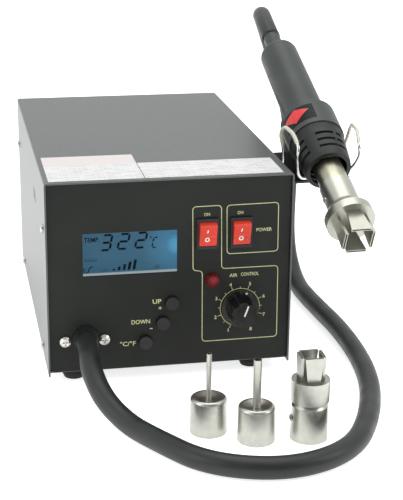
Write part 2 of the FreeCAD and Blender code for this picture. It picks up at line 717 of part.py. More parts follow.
def make_knob():
    face = PANEL_FACE - d.knob_gap
    front = PANEL_FACE - d.knob_proud
    skirt = rod("knob_skirt_disc", d.knob_skirt, d.knob_skirt_gauge, (0, 0, 0))
    grip = taper(
        "knob_grip", d.knob_body + 0.8, d.knob_body, d.knob_proud - d.knob_gap, (0, 0, 0),
    )
    tools = [
        rod("knob_bore", d.shaft_radius + d.shaft_gap, 14, (0, 0, 0)),
        rod("knob_recess", d.nut_flats + 1.4, d.bushing_proud, (0, 0, 0)),
    ]
    for i in range(int(number_of(d.knob_flutes))):
        angle = 2 * math.pi * (i + 0.5) / number_of(d.knob_flutes)
        start = (
            d.flute_offset * math.cos(angle), d.flute_offset * math.sin(angle), d.knob_skirt_gauge,
        )
        tools.append(rod(f"knob_flute_{i}", d.flute_radius, d.knob_proud, start))
    knob = cut("knob_cut", join("knob_joined", skirt, grip), *tools)
    turn = Rotation(Vector(0, 1, 0), number_of(d.knob_angle)).multiply(TURNS["-y"])
    knob.Placement = Placement(vector(case(d.knob_x, face, d.knob_z)), turn)
    node("air_knob", knob)
    body = rod("pot_can", d.pot_radius, d.pot_depth, case(d.knob_x, PANEL_BACK, d.knob_z), "y")
    bushing = rod(
        "pot_bushing", d.bushing_radius, d.bushing_proud,
        case(d.knob_x, PANEL_BACK - d.bushing_proud, d.knob_z), "y",
    )
    bore = rod(
        "pot_bore", d.shaft_radius + d.shaft_gap, d.bushing_proud + 5,
        case(d.knob_x, PANEL_BACK - d.bushing_proud, d.knob_z), "y",
    )
    node("pot_body", cut("pot_body_cut", join("pot_joined", body, bushing), bore))
    shaft_front = front + 4
    node("pot_shaft", rod(
        "pot_shaft_rod", d.shaft_radius, PANEL_BACK + 4.5 - shaft_front,
        case(d.knob_x, shaft_front, d.knob_z), "y",
    ))
    nut = doc.addObject("Part::Prism", "pot_nut_prism")
    nut.Polygon = 6
    bind(nut, "Circumradius", d.nut_flats)
    bind(nut, "Height", d.nut_gauge)
    seat(nut, case(d.knob_x, PANEL_FACE, d.knob_z), TURNS["-y"])
    hole = rod("pot_nut_hole", d.bushing_radius, 6, case(d.knob_x, PANEL_FACE - 4, d.knob_z), "y")
    node("pot_nut", cut("pot_nut_cut", nut, hole))


def make_gland():
    back = PANEL_BACK
    centre = (d.gland_x, d.gland_z)
    plate = block(
        "gland_plate", (d.gland_plate_width, d.gland_plate_gauge, d.gland_plate_height),
        case(centre[0] - d.gland_plate_width / 2, back, centre[1] - d.gland_plate_height / 2),
    )
    ring_y = PANEL_FACE - d.gland_ring_proud
    ring = rod("gland_ring", d.gland_ring, back - ring_y, case(centre[0], ring_y, centre[1]), "y")
    nose_y = PANEL_FACE - d.gland_proud
    nose = rod("gland_nose", d.gland_nose, 4, case(centre[0], nose_y, centre[1]), "y")
    tail = rod("gland_tail", d.gland_ring - 1, d.gland_depth, case(centre[0], back, centre[1]), "y")
    spigot = rod(
        "gland_spigot", d.tube_radius - d.tube_wall, d.gland_depth + 9,
        case(centre[0], back, centre[1]), "y",
    )
    tools = [
        rod("gland_bore", 2.2, 80, case(centre[0], nose_y - 10, centre[1]), "y"),
        rod("gland_mouth", d.gland_bore, 12, case(centre[0], nose_y - 2, centre[1]), "y"),
    ]
    for name, x in (("left", d.gland_left_x), ("right", d.gland_right_x)):
        start = case(x, back - 1, d.gland_screw_z)
        tools.append(rod(f"gland_thread_{name}", 2, 8, start, "y"))
    solid = join("gland_joined", plate, ring, nose, tail, spigot)
    node("hose_gland", cut("hose_gland_cut", solid, *tools))
    screws = []
    for name, x in (("left", d.gland_left_x), ("right", d.gland_right_x)):
        start = case(x, PANEL_FACE, d.gland_screw_z)
        screws.append(pan_screw(
            f"gland_screw_{name}", 2, 6, d.gland_screw_head, 2.6, start, TURNS["-y"],
        ))
    node("gland_screws", group("gland_screws_group", *screws))


def carried(item, frame):
    """Carry an object from a tilted frame's own coordinates into the row frame."""
    for axis in "xyz":
        item.setExpression(f"Placement.Base.{axis}", None)
    item.Placement = frame.multiply(item.Placement)
    return item


def on_hand(item):
    return carried(item, HAND_FRAME)


def make_hand_piece():
    back = -d.grip_length
    inner_back = back + d.grip_wall
    grip = turned("grip_body", [
        (d.boot_radius, back), (d.grip_back_radius, back), (d.grip_front_radius, -1),
        (d.grip_front_radius, 0), (d.grip_front_radius - d.grip_wall, 0),
        (d.grip_back_radius - d.grip_wall, back + d.grip_shoulder),
        (d.boot_radius + 1.5, inner_back), (d.boot_radius, inner_back),
    ])
    soften(grip, d.grip_shoulder - 3.5, ring_at(back, d.grip_back_radius))
    node("handle_grip", on_hand(grip))
    bore = d.boot_radius - 2.6
    boot = turned("boot_body", [
        (bore, back - d.boot_proud), (d.boot_radius, back - d.boot_proud),
        (d.boot_radius, back + d.grip_wall + 0.2), (d.boot_radius + 1.3, back + d.grip_wall + 0.2),
        (d.boot_radius + 1.3, back + d.grip_wall + 3), (bore, back + d.grip_wall + 3),
    ])
    node("hose_boot", on_hand(boot))
    collar = turned("collar_body", [
        (d.grip_front_radius - d.grip_wall, 0), (d.collar_radius, 0),
        (d.collar_radius, d.collar_length), (d.collar_radius - d.collar_wall, d.collar_length),
        (d.collar_radius - d.collar_wall, 3), (d.grip_front_radius - d.grip_wall, 3),
    ])
    soften(collar, 1.2, ring_at(0, d.collar_radius))
    node("handle_collar", on_hand(collar))
    ring = turned("ring_body", [
        (d.ring_back_radius - d.ring_wall, d.collar_length), (d.ring_back_radius, d.collar_length),
        (d.ring_front_radius, d.ring_front - 4), (d.ring_front_radius - 0.8, d.ring_front),
        (d.ring_front_radius - d.ring_wall - 1.6, d.ring_front),
        (d.ring_front_radius - d.ring_wall - 1.6, d.ring_front - 2),
        (d.ring_front_radius - d.ring_wall, d.ring_front - 4),
    ])
    tools = []
    columns = int(number_of(d.ring_slot_columns))
    for row in range(3):
        station = d.ring_slot_station + d.ring_slot_pitch * row
        for column in range(columns):
            name = f"ring_slot_{row}{column}"
            size = (d.ring_slot_length, 20, d.ring_slot_width)
            slot = block(name, size, (-d.ring_slot_length / 2, 12, 0))
            degrees = number_of(d.ring_slot_turn) + 360 / columns * column
            turn = Rotation(Vector(0, 0, 1), degrees)
            slot.Placement = Placement(Vector(0, 0, number_of(station)), turn).multiply(slot.Placement)
            tools.append(slot)
    node("vent_ring", on_hand(cut("vent_ring_cut", ring, *tools)))
    # mica washers carry the heater pipe inside the collar
    carrier = turned("carrier_body", [
        (d.pipe_radius, 6), (d.collar_radius - d.collar_wall, 6),
        (d.collar_radius - d.collar_wall, 6 + d.flange_gauge), (d.pipe_radius, 6 + d.flange_gauge),
    ])
    pipe = turned("pipe_body", [
        (d.pipe_radius - d.pipe_wall, 4), (d.pipe_radius, 4),
        (d.pipe_radius, d.pipe_front), (d.pipe_radius - d.pipe_wall, d.pipe_front),
    ])
    node("heater_pipe", on_hand(pipe))
    core = turned("core_body", [
        (1.5, d.core_back), (d.core_radius, d.core_back), (d.core_radius, d.core_front),
        (1.5, d.core_front),
    ])
    grooves = []
    for i in range(8):
        angle = math.pi * i / 4
        start = (
            d.core_radius * math.cos(angle), d.core_radius * math.sin(angle), d.core_back + 6,
        )
        grooves.append(rod(f"core_groove_{i}", 1.3, d.core_front - d.core_back - 6, start))
    node("heater_core", on_hand(cut("heater_core_cut", core, *grooves)))
    windings = []
    for i in range(8):
        angle = math.pi * i / 4
        start = (
            d.core_radius * math.cos(angle), d.core_radius * math.sin(angle), d.core_back + 8,
        )
        windings.append(rod(f"winding_{i}", 0.9, d.core_front - d.core_back - 12, start))
    node("heater_windings", on_hand(group("heater_windings_group", *windings)))
    holder = turned("core_holder_body", [
        (d.core_radius, d.core_back), (d.pipe_radius - d.pipe_wall, d.core_back),
        (d.pipe_radius - d.pipe_wall, d.core_back + 3), (d.core_radius, d.core_back + 3),
    ])
    node("mica_spacers", on_hand(group("mica_spacers_group", carrier, holder)))


def duct(label, half_span, thickness, base, tip, length, wall, turn):
    """One flaring rectangular duct along +Z, and the core that hollows it."""
    items = []
    for name, inset, start in (("skin", 0, -0.5), ("core", 1, -3)):
        wedge = doc.addObject("Part::Wedge", f"{label}_{name}")
        shrink = wall * inset
        end = 1.0 * inset
        bind(wedge, "Xmin", -base / 2 + shrink)
        bind(wedge, "Xmax", base / 2 - shrink)
        bind(wedge, "Zmin", shrink)
        bind(wedge, "Zmax", thickness - shrink)
        bind(wedge, "X2min", -tip / 2 + shrink)
        bind(wedge, "X2max", tip / 2 - shrink)
        bind(wedge, "Z2min", shrink)
        bind(wedge, "Z2max", thickness - shrink)
        wedge.Ymin = start
        bind(wedge, "Ymax", length + end)
        # the wedge widens along its own Y, which is laid along the duct's +Z
        lay = Placement(Vector(0, number_of(half_span), 0), Rotation(Vector(1, 0, 0), 90))
        wedge.Placement = Placement(Vector(), Rotation(Vector(0, 0, 1), turn)).multiply(lay)
        items.append(wedge)
    return items


def four_ducts(label, station, half_span, thickness, base, tip, length, wall):
    skins = []
    cores = []
    for i in range(4):
        skin, core = duct(f"{label}_{i}", half_span, thickness, base, tip, length, wall, 90 * i)
        for item in (skin, core):
            item.Placement = Placement(Vector(0, 0, number_of(station)), Rotation()) * item.Placement
        skins.append(skin)
        cores.append(core)
    return skins, cores


def make_fitted_nozzle():
    inner = d.pipe_radius + d.nozzle_gap
    outer = inner + d.sleeve_wall
    sleeve = turned("sleeve_body", [
        (inner, d.sleeve_back), (outer, d.sleeve_back), (outer, d.sleeve_front),
        (inner, d.sleeve_front),
    ])
    node("nozzle_sleeve", on_hand(sleeve))
    wall = d.nozzle_wall
    face = d.disc_front
    shell = turned("nozzle_shell", [
        (inner, d.sleeve_front), (outer + 0.6, d.sleeve_front), (d.disc_radius - 1, d.disc_back),
        (d.disc_radius, d.disc_back + 1), (d.disc_radius, face), (0, face), (0, face - wall),
        (d.disc_radius - wall, face - wall), (d.disc_radius - wall, d.disc_back + 1.4),
        (inner, d.sleeve_front + wall),
    ])
    skins, cores = four_ducts(
        "duct", face, d.duct_half_span, d.duct_thickness, d.duct_base, d.duct_tip,
        d.duct_length, wall * 0.75,
    )
    solid = join("nozzle_head_joined", shell, *skins)
    node("nozzle_head", on_hand(cut("nozzle_head_cut", solid, *cores)))
    screws = []
    for name, side, station in (("left", -1, 92.7), ("right", 1, 82.0)):
        turn = TURNS["-x"] if side < 0 else TURNS["x"]
        start = (outer * side, 0, station)
        screws.append(pan_screw(
            f"nozzle_screw_{name}", 1.2, d.sleeve_wall * 0.8, d.nozzle_screw_head,
            d.nozzle_screw_height, start, turn,
        ))
    node("nozzle_screws", on_hand(group("nozzle_screws_group", *screws)))


def make_spare_nozzles():
    """Three spare nozzles that stand on the table in front of the case."""
    for name, x, y, radius, length in (
        ("fine", d.fine_x, d.fine_y, d.fine_radius, d.fine_length),
        ("wide", d.wide_x, d.wide_y, d.wide_radius, d.wide_length),
    ):
        base = (d.case_left + x, d.case_front + y, 0)
        high = d.spare_height
        wall = d.spare_wall
        outer = d.spare_radius
        cup = turned(f"{name}_cup", [
            (outer - wall, 0), (outer, 0), (outer - 0.3, high), (outer - 3.5, high),
            (radius, high - d.spare_dish), (radius, high - d.spare_dish - wall),
            (outer - 3.8, high - wall), (outer - wall - 0.3, high - wall - 1.5),
        ])
        soften(cup, 2.2, ring_at(high, outer - 0.3))
        node(f"spare_{name}_cup", seat(cup, base))
        bore = radius - 0.4
        foot = high - d.spare_dish - 3
        tube = turned(f"{name}_tube", [
            (bore, foot), (radius, foot), (radius, high + length), (bore, high + length),
        ])
        node(f"spare_{name}_tube", seat(tube, base))
    base = (d.case_left + d.quad_x, d.case_front + d.quad_y, 0)
    wall = d.spare_wall
    top = d.quad_head_base
    sleeve = turned("quad_sleeve_body", [
        (d.quad_sleeve - wall, 0), (d.quad_sleeve, 0), (d.quad_sleeve - 0.7, top - 1.5),
        (d.quad_sleeve - 2, top), (d.quad_sleeve - 2 - wall, top), (d.quad_sleeve - 0.7 - wall, top - 1.5),
    ])
    face = d.quad_head_top
    shell = turned("quad_shell", [
        (d.quad_sleeve - 2 - wall, top), (d.quad_sleeve - 2, top), (d.quad_head, top + 2),
        (d.quad_head, face), (0, face), (0, face - wall), (d.quad_head - wall, face - wall),
        (d.quad_head - wall, top + 2.6),
    ])
    skins, cores = four_ducts(
        "quad_duct", face, d.quad_half_span, d.quad_duct_thickness, d.quad_duct_base,
        d.quad_duct_tip, d.quad_duct_length, wall * 0.75,
    )
    head = cut("quad_head_cut", join("quad_head_joined", shell, *skins), *cores)
    node("spare_quad_head", seat(head, base))
    screw = pan_screw(
        "quad_screw", 1.2, 1.2, d.nozzle_screw_head, d.nozzle_screw_height,
        (0.4 - d.quad_sleeve, 0, 15), TURNS["-x"],
    )
    node("spare_quad_sleeve", seat(join("quad_sleeve_joined", sleeve, screw), base))


def make_holder():
    """A steel shelf on the case's right side, and the bent wire cradle on it."""
    length = d.plate_front - d.plate_back
    wall_x = d.case_left + d.case_width
    reach_left = d.hand_clear + 2
    plate = block(
        "holder_plate", (reach_left + d.plate_reach, d.plate_gauge, length),
        (-reach_left, -d.plate_drop - d.plate_gauge, d.plate_back),
    )
    on_hand(plate)
    flange = block(
        "holder_flange", (d.holder_gauge, d.flange_drop, length),
        (0, -d.plate_drop - d.flange_drop, d.plate_back),
    )
    carried(flange, WALL_FRAME)
    trim = block("holder_trim", (60, 200, 200), (wall_x - 60, case(0, -40, 0)[1], d.foot_height))
    tools = [trim]
    for i, point in enumerate(holder_screw_points()):
        start = (point.x - 5, point.y, point.z)
        tools.append(rod(f"holder_hole_{i}", d.screw_radius + d.screw_hole_gap, 12, start, "x"))
        case_screws.append(pan_screw(
            f"holder_screw_{i}", d.screw_radius, 8, d.screw_head, d.screw_head_height,
            (point.x + number_of(d.holder_gauge), point.y, point.z), TURNS["x"],
        ))
    node("holder_bracket", cut("holder_bracket_cut", join("holder_joined", plate, flange), *tools))
    for i, point in enumerate(holder_screw_points()):
        nut = doc.addObject("Part::Prism", f"holder_nut_{i}")
        nut.Polygon = 6
        nut.Circumradius = 3.2
        nut.Height = 2.4
        seat(nut, (point.x - number_of(d.cover_gauge), point.y, point.z), TURNS["-x"])
        start = (point.x - 10, point.y, point.z)
        hole = rod(f"holder_nut_hole_{i}", d.screw_radius, 12, start, "x")
        case_screws.append(cut(f"holder_nut_cut_{i}", nut, hole))


# the wire cradle's right half: sideways, forward and up from the hand piece's station 0
CRADLE_HALF = [
    (24.5, 16.8, -35.2), (24.6, 19.0, -16.0), (27.8, 20.0, -3.0), (26.4, 27.0, 3.2),
    (25.2, 44.0, 1.8), (23.4, 53.0, -6.6), (24.6, 53.5, -14.0), (22.8, 50.0, -21.5),
    (19.8, 42.0, -30.0), (14.0, 33.0, -36.2), (6.0, 28.0, -37.6),
]
CRADLE_EAR = CRADLE_HALF[1:6]


def cradle_point(side, point):
    sideways, forward, rise = point
    return HAND_ORIGIN + HAND_SIDE * (sideways * side) + LEVEL_FORWARD * forward + Vector(0, 0, rise)


def make_cradle():
    right = [cradle_point(1, point) for point in CRADLE_HALF]
    left = [cradle_point(-1, point) for point in reversed(CRADLE_HALF)]
    node("wire_cradle", swept("wire_cradle_bar", right + left, d.cradle_wire))
    sleeves = []
    for name, side in (("right", 1), ("left", -1)):
        points = [cradle_point(side, point) for point in CRADLE_EAR]
        start = points[0] + (points[1] - points[0]) * 0.25
        end = points[4] + (points[3] - points[4]) * 0.3
        run = [start, points[1], points[2], points[3], end]
        skin = swept(f"sleeve_{name}", run, d.cradle_sleeve)
        bore = swept(f"sleeve_bore_{name}", run, d.cradle_wire)
        sleeves.append(cut(f"sleeve_{name}_cut", skin, bore))
    node("cradle_sleeves", group("cradle_sleeves_group", *sleeves))


def make_pump():
    """Twin diaphragm air pump on rubber mounts, and the tube to the hose outlet."""
    low = d.pump_z
    centre_x = d.pump_x + d.pump_width / 2
    centre_z = low + d.pump_height / 2
    node("pump_body", block(
        "pump_block", (d.pump_width, d.pump_length, d.pump_height), case(d.pump_x, d.pump_y, low),
    ))
    heads = []
    for name, y, along in (("front", d.pump_y, "-y"), ("back", d.pump_y + d.pump_length, "y")):
        heads.append(rod(
            f"pump_head_{name}", d.pump_head, d.pump_head_gauge, case(centre_x, y, centre_z), along,
        ))
    outlet_y = d.pump_y - d.pump_head_gauge - 14
    barb = rod("pump_barb", d.tube_radius - d.tube_wall, 15, case(centre_x, outlet_y, centre_z), "y")
    bore = rod("pump_bore", 2.2, 16, case(centre_x, outlet_y - 1, centre_z), "y")
    heads[0] = cut("pump_head_front_cut", join("pump_head_front_joined", heads[0], barb), bore)
    node("pump_heads", group("pump_heads_group", *heads))
    mounts = []
    inset = d.mount_radius + 2
    for i, x in enumerate((d.pump_x + inset, d.pump_x + d.pump_width - inset)):
        for j, y in enumerate((d.pump_y + inset, d.pump_y + d.pump_length - inset)):
            mounts.append(rod(f"pump_mount_{i}{j}", d.mount_radius, low - TRAY_TOP, case(x, y, TRAY_TOP)))
    node("pump_mounts", group("pump_mounts_group", *mounts))
    tail_y = PANEL_BACK + d.gland_depth
    start = vector(case(d.gland_x, tail_y, d.gland_z))
    end = vector(case(centre_x, d.pump_y - d.pump_head_gauge - 2, centre_z))
    bend = Vector(0, 30, 0)
    run = [start, start + bend, end - bend, end]
    skin = swept("air_tube_skin", run, d.tube_radius)
    core = swept("air_tube_core", run, d.tube_radius - d.tube_wall)
    node("air_tube", cut("air_tube_cut", skin, core))


def make_transformer():
    x, y = d.core_x, d.case_depth - d.core_inset
    z = TRAY_TOP
    outer = block("core_outer", (d.core_width, d.core_thickness, d.core_height), case(x, y, z))
    window_width = (d.core_width - d.core_leg - d.core_yoke * 2) / 2
    window_height = d.core_height - d.core_yoke * 2
    tools = []
    for i, left in enumerate((x + d.core_yoke, x + d.core_width - d.core_yoke - window_width)):
        size = (window_width, d.core_thickness * 2, window_height)
        corner = case(left, y - d.core_thickness / 2, z + d.core_yoke)
        tools.append(block(f"core_window_{i}", size, corner))
    node("transformer_core", cut("transformer_core_cut", outer, *tools))
    reach = window_width - d.coil_gap * 2
    wide = d.core_leg + reach * 2
    deep = d.core_thickness + reach * 2
    high = window_height - d.coil_gap * 2
    left = x + d.core_width / 2 - wide / 2
    coil = block("coil_outer", (wide, deep, high), case(left, y - reach, z + d.core_yoke + d.coil_gap))
    leg = block(
        "coil_leg", (d.core_leg + 0.1, d.core_thickness + 0.1, high * 2),
        case(x + d.core_width / 2 - d.core_leg / 2 - 0.05, y - 0.05, z),
    )
    node("transformer_coil", cut("transformer_coil_cut", coil, leg))


def make_control_board():
    x, y, z = d.main_x, d.main_y, d.main_z
    top = z + d.board_gauge
    node("control_board", block(
        "control_plate", (d.main_width, d.main_length, d.board_gauge), case(x, y, z),
    ))
    for i, post_x in enumerate((x + 5, x + d.main_width - 5)):
        for j, post_y in enumerate((y + 5, y + d.main_length - 5)):
            start = case(post_x, post_y, TRAY_TOP)
            board_standoffs.append(rod(f"board_stand_{i}{j}", d.post_radius, z - TRAY_TOP, start))
    sink_x = x + 40
    base = block("sink_base", (30, 3, 26), case(sink_x, y + 58, top))
    fins = [block(f"sink_fin_{i}", (1.6, 14, 26), case(sink_x + i * 7.1, y + 58, top)) for i in range(5)]
    parts = [
        join("heat_sink", base, *fins),
        block("triac", (10, 4.5, 15), case(sink_x + 10, y + 53.5, top + 5)),
        rod("capacitor_a", 6, 20, case(x + 16, y + 20, top)),
        rod("capacitor_b", 5, 14, case(x + 16, y + 40, top)),
        block("relay", (19, 15, 15), case(x + 30, y + 14, top)),
        block("terminal_block", (30, 9, 11), case(x + 40, y + 86, top)),
    ]
    node("board_components", group("board_components_group", *parts))


def make_power_entry():
    """Mains socket and fuse on the rear panel."""
    x, z = d.inlet_x, d.inlet_z
    back = d.case_depth - d.panel_inset
    flange = block("inlet_flange", (48, 3, 23), case(x - 24, back, z - 11.5))
    body = block("inlet_body", (27, 24, 20), case(x - 13.5, back - 21, z - 10))
    well = block("inlet_well", (24, 18, 16), case(x - 12, back - 15, z - 8))
    tools = [well]
    for side in (-1, 1):
        name = "left" if side < 0 else "right"
        start = case(x + 20 * side, back - 5, z)
        tools.append(rod(f"inlet_{name}_hole", d.screw_radius, 12, start, "y"))
        start = case(x + 20 * side, back + 3, z)
        screw = pan_screw(f"inlet_screw_{name}", d.screw_radius, 6, 2.8, 1.8, start, TURNS["y"])
        case_screws.append(screw)
    node("power_inlet", cut("power_inlet_cut", join("inlet_joined", flange, body), *tools))
    for i, (pin_x, pin_z) in enumerate(((-7, -2.2), (0, 2.4), (7, -2.2))):
        size = (2, 16, 4)
        corner = case(x + pin_x - 1, back - 18, z + pin_z - 2)
        blade_terminals.append(block(f"inlet_pin_{i}", size, corner))
    holder = join(
        "fuse_joined",
        rod("fuse_body", 6, 26, case(d.fuse_x, back - 24, d.fuse_z), "y"),
        rod("fuse_rim", 8, 2, case(d.fuse_x, back, d.fuse_z), "y"),
    )
    bore = rod("fuse_bore", 4, 22, case(d.fuse_x, back - 18, d.fuse_z), "y")
    node("fuse_holder", cut("fuse_holder_cut", holder, bore))
    node("fuse_cap", join(
        "fuse_cap_joined",
        rod("fuse_cap_head", 6.5, 6, case(d.fuse_x, back + 2, d.fuse_z), "y"),
        rod("fuse_cap_stem", 3.8, 10, case(d.fuse_x, back - 7, d.fuse_z), "y"),
    ))


# the hose's route: from the outlet, round on the table, up beside the case and over into the boot,
# measured from the case's front left lower corner; the last two points lie on the hand piece's axis
HOSE_ROUTE = [
    (26.0, -38.5, 20.5), (32.0, -62.0, 8.5), (45.0, -83.0, -0.5),
    (59.0, -108.0, -0.5), (87.0, -149.5, -0.5), (137.0, -165.0, -0.5), (183.0, -146.0, -0.5),
    (211.0, -96.0, -0.5), (230.0, -33.5, -0.5), (235.0, 43.0, -0.5), (229.0, 112.5, -0.5),
    (226.5, 163.0, -0.5), (229.0, 207.5, 21.0), (241.0, 250.5, 56.5), (252.0, 281.0, 103.0),
    (248.0, 303.0, 143.0), (235.0, 301.0, 179.0), (221.2, 279.5, 207.5), (210.7, 247.0, 219.8),
]


def make_hose():
    nose = number_of(PANEL_FACE - d.gland_proud)
    first = vector(case(d.gland_x, nose, d.gland_z))
    end_station = -number_of(d.grip_length + d.boot_proud + d.hose_gap)
    end = HAND_ORIGIN + HAND_AXIS * end_station
    route = [first, first - Vector(0, 15, 0)]
    route += [vector(case(x, y, z)) for x, y, z in HOSE_ROUTE]
    route += [end - HAND_AXIS * 22, end]
    node("air_hose", swept("air_hose_tube", route, d.hose_radius, "hose"))


def make_top_labels():
    """Two plain printed labels on the cover's top, at its front edge."""
    top = d.case_height
    labels = [
        block("label_left", (67.3, 66, 0.25), case(3.5, 3.5, top)),
        block("label_right", (99.5, 41.5, 0.25), case(71.4, 3.5, top)),
    ]
    node("top_labels", group("top_labels_group", *labels))


for make in (
    make_cover, make_tray, make_feet, make_cover_screws, make_front_panel, make_rear_panel,
    make_display, make_buttons, make_switches, make_lamp, make_knob, make_gland,
    make_hand_piece, make_fitted_nozzle, make_spare_nozzles, make_holder, make_cradle,
    make_pump, make_transformer, make_control_board, make_power_entry, make_top_labels, make_hose,
):
    make()
node("case_screws", group("case_screws_group", *case_screws))
node("board_standoffs", group("board_standoffs_group", *board_standoffs))
node("blade_terminals", group("blade_terminals_group", *blade_terminals))
doc.recompute()

failed = [item.Label for item in doc.Objects if {"Invalid", "Error"} & set(item.State)]
failed += [name for name, item in nodes.items() if item.Shape.isNull() or not item.Shape.isValid()]
failed += [name for name, item in nodes.items() if item.Label != name]
if failed:
    raise SystemExit("failed: " + ", ".join(failed))
os.makedirs("parts", exist_ok=True)
for name, item in nodes.items():
    item.Shape.exportStep(f"parts/{name}.step")
print(len(nodes), "sub-parts")
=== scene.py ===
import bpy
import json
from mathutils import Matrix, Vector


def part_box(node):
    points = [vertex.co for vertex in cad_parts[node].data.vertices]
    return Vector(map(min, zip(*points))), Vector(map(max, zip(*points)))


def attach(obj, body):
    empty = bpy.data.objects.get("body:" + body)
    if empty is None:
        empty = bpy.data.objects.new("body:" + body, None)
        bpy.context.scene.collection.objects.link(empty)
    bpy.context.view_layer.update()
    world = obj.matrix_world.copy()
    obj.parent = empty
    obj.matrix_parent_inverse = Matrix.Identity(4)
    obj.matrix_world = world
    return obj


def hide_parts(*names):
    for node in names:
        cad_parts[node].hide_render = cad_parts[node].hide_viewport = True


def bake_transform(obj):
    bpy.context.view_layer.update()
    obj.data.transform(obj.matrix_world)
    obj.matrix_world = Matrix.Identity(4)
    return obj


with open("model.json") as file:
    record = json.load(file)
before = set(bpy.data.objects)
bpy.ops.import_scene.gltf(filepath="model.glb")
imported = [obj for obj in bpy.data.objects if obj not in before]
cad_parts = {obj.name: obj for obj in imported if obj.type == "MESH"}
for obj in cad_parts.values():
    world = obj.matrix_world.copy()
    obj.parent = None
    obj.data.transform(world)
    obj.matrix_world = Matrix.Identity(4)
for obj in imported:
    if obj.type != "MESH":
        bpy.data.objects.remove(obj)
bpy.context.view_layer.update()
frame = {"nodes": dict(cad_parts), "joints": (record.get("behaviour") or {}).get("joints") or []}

import json
import math
import bpy
import bmesh
from mathutils import Vector
from mathutils.bvhtree import BVHTree

nodes = frame["nodes"]
scene = bpy.context.scene
MM = 0.001

# the cover's lower front left corner, and the panel's face
cover_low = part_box("top_cover")[0]
LEFT, FLOOR = cover_low.x, cover_low.z
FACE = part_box("front_panel")[0].y
PRINT_PROUD = 0.08  # how far printing stands in front of the panel, mm


def on_panel(x, z, proud=PRINT_PROUD):
    """A point on the front panel, in millimetres from the case's lower left corner."""
    return Vector((LEFT + x * MM, FACE - proud * MM, FLOOR + z * MM))


def in_case(x, y, z):
    """A point in millimetres from the cover's lower front left corner."""
    return Vector((LEFT + x * MM, cover_low.y + y * MM, FLOOR + z * MM))


# the hand piece's own directions: along it to the nozzle, square up from it, and to its right
joints = {j["name"]: j for j in frame["joints"]}
ALONG = Vector(joints["nozzle_pull"]["axis"]).normalized()
UP = Vector(joints["hand_piece_lift"]["axis"]).normalized()
RIGHT = UP.cross(ALONG).normalized()
HAND = in_case(211.85, 91.7, 159.8)


def on_hand(station, degrees=0.0, radius=0.0):
    """A point on the hand piece, in millimetres. Degrees go from its top round to its left."""
    a = math.radians(degrees)
    out = UP * math.cos(a) - RIGHT * math.sin(a)
    return HAND + ALONG * station * MM + out * radius * MM


# ---------------------------------------------------------------- camera and light

LENS = 96.1  # mm, on a frame 36 mm wide
CAMERA_TURN = (71.266, -0.61, -11.147)  # degrees

camera_data = bpy.data.cameras.new("camera")
camera_data.lens = LENS
camera_data.clip_end = 50
camera = bpy.data.objects.new("camera", camera_data)
camera.location = in_case(-66.67, -884.56, 396.58)
camera.rotation_euler = [math.radians(turn) for turn in CAMERA_TURN]
scene.collection.objects.link(camera)
scene.camera = camera


def mesh_object(name, verts, faces, smooth=False):
    mesh = bpy.data.meshes.new(name)
    mesh.from_pydata([tuple(v) for v in verts], [], faces)
    mesh.update()
    if smooth:
        mesh.shade_smooth()
    piece = bpy.data.objects.new(name, mesh)
    scene.collection.objects.link(piece)
    return piece


FLOOR_REACH = 8
FLOOR_DROP = 0.0002  # keeps the floor clear of the undersides that rest on it
corners = [(x * FLOOR_REACH, y * FLOOR_REACH, 0) for x, y in ((-1, -1), (1, -1), (1, 1), (-1, 1))]
floor = mesh_object("floor", corners, [(0, 1, 2, 3)])
floor.location.z = -FLOOR_DROP


def area_light(name, where, target, size, power):
    """A rectangular light that faces its target. Metres and watts."""
    data = bpy.data.lights.new(name, "AREA")
    data.shape = "RECTANGLE"
    data.size, data.size_y = size
    data.energy = power
    lamp = bpy.data.objects.new(name, data)
    lamp.location = where
    lamp.rotation_euler = (Vector(target) - Vector(where)).to_track_quat("-Z", "Y").to_euler()
    scene.collection.objects.link(lamp)


area_light("overhead", (0.1, 0.1, 1.6), (0, 0, 0.1), (1.6, 1.6), 14)
area_light("left_box", (-1.3, -0.5, 0.7), (0, 0, 0.1), (0.9, 1.0), 7)
area_light("right_box", (1.3, -0.7, 0.9), (0.1, 0, 0.1), (0.6, 0.9), 7)

# the surroundings: dim in front of the object and bright behind it
SKY_DIM, SKY_BRIGHT = (0.25, 0.25, 0.26, 1), (1.12, 1.14, 1.13, 1)
SKY_BRIGHT_FROM = 0.75
SKY_STRENGTH = 0.9

world = bpy.data.worlds.new("studio")
scene.world = world
world.use_nodes = True
scene.view_settings.view_transform = "Standard"
tree = world.node_tree
coordinates = tree.nodes.new("ShaderNodeTexCoord")
split = tree.nodes.new("ShaderNodeSeparateXYZ")
ramp = tree.nodes.new("ShaderNodeValToRGB")
ramp.color_ramp.elements[0].position = 0.0
ramp.color_ramp.elements[0].color = SKY_DIM
ramp.color_ramp.elements[1].position = SKY_BRIGHT_FROM
ramp.color_ramp.elements[1].color = SKY_BRIGHT
shift = tree.nodes.new("ShaderNodeMapRange")
shift.inputs["From Min"].default_value = -1
tree.links.new(coordinates.outputs["Generated"], split.inputs[0])
tree.links.new(split.outputs["Y"], shift.inputs["Value"])
tree.links.new(shift.outputs[0], ramp.inputs[0])
tree.links.new(ramp.outputs[0], tree.nodes["Background"].inputs["Color"])
tree.nodes["Background"].inputs["Strength"].default_value = SKY_STRENGTH


# ---------------------------------------------------------------- materials

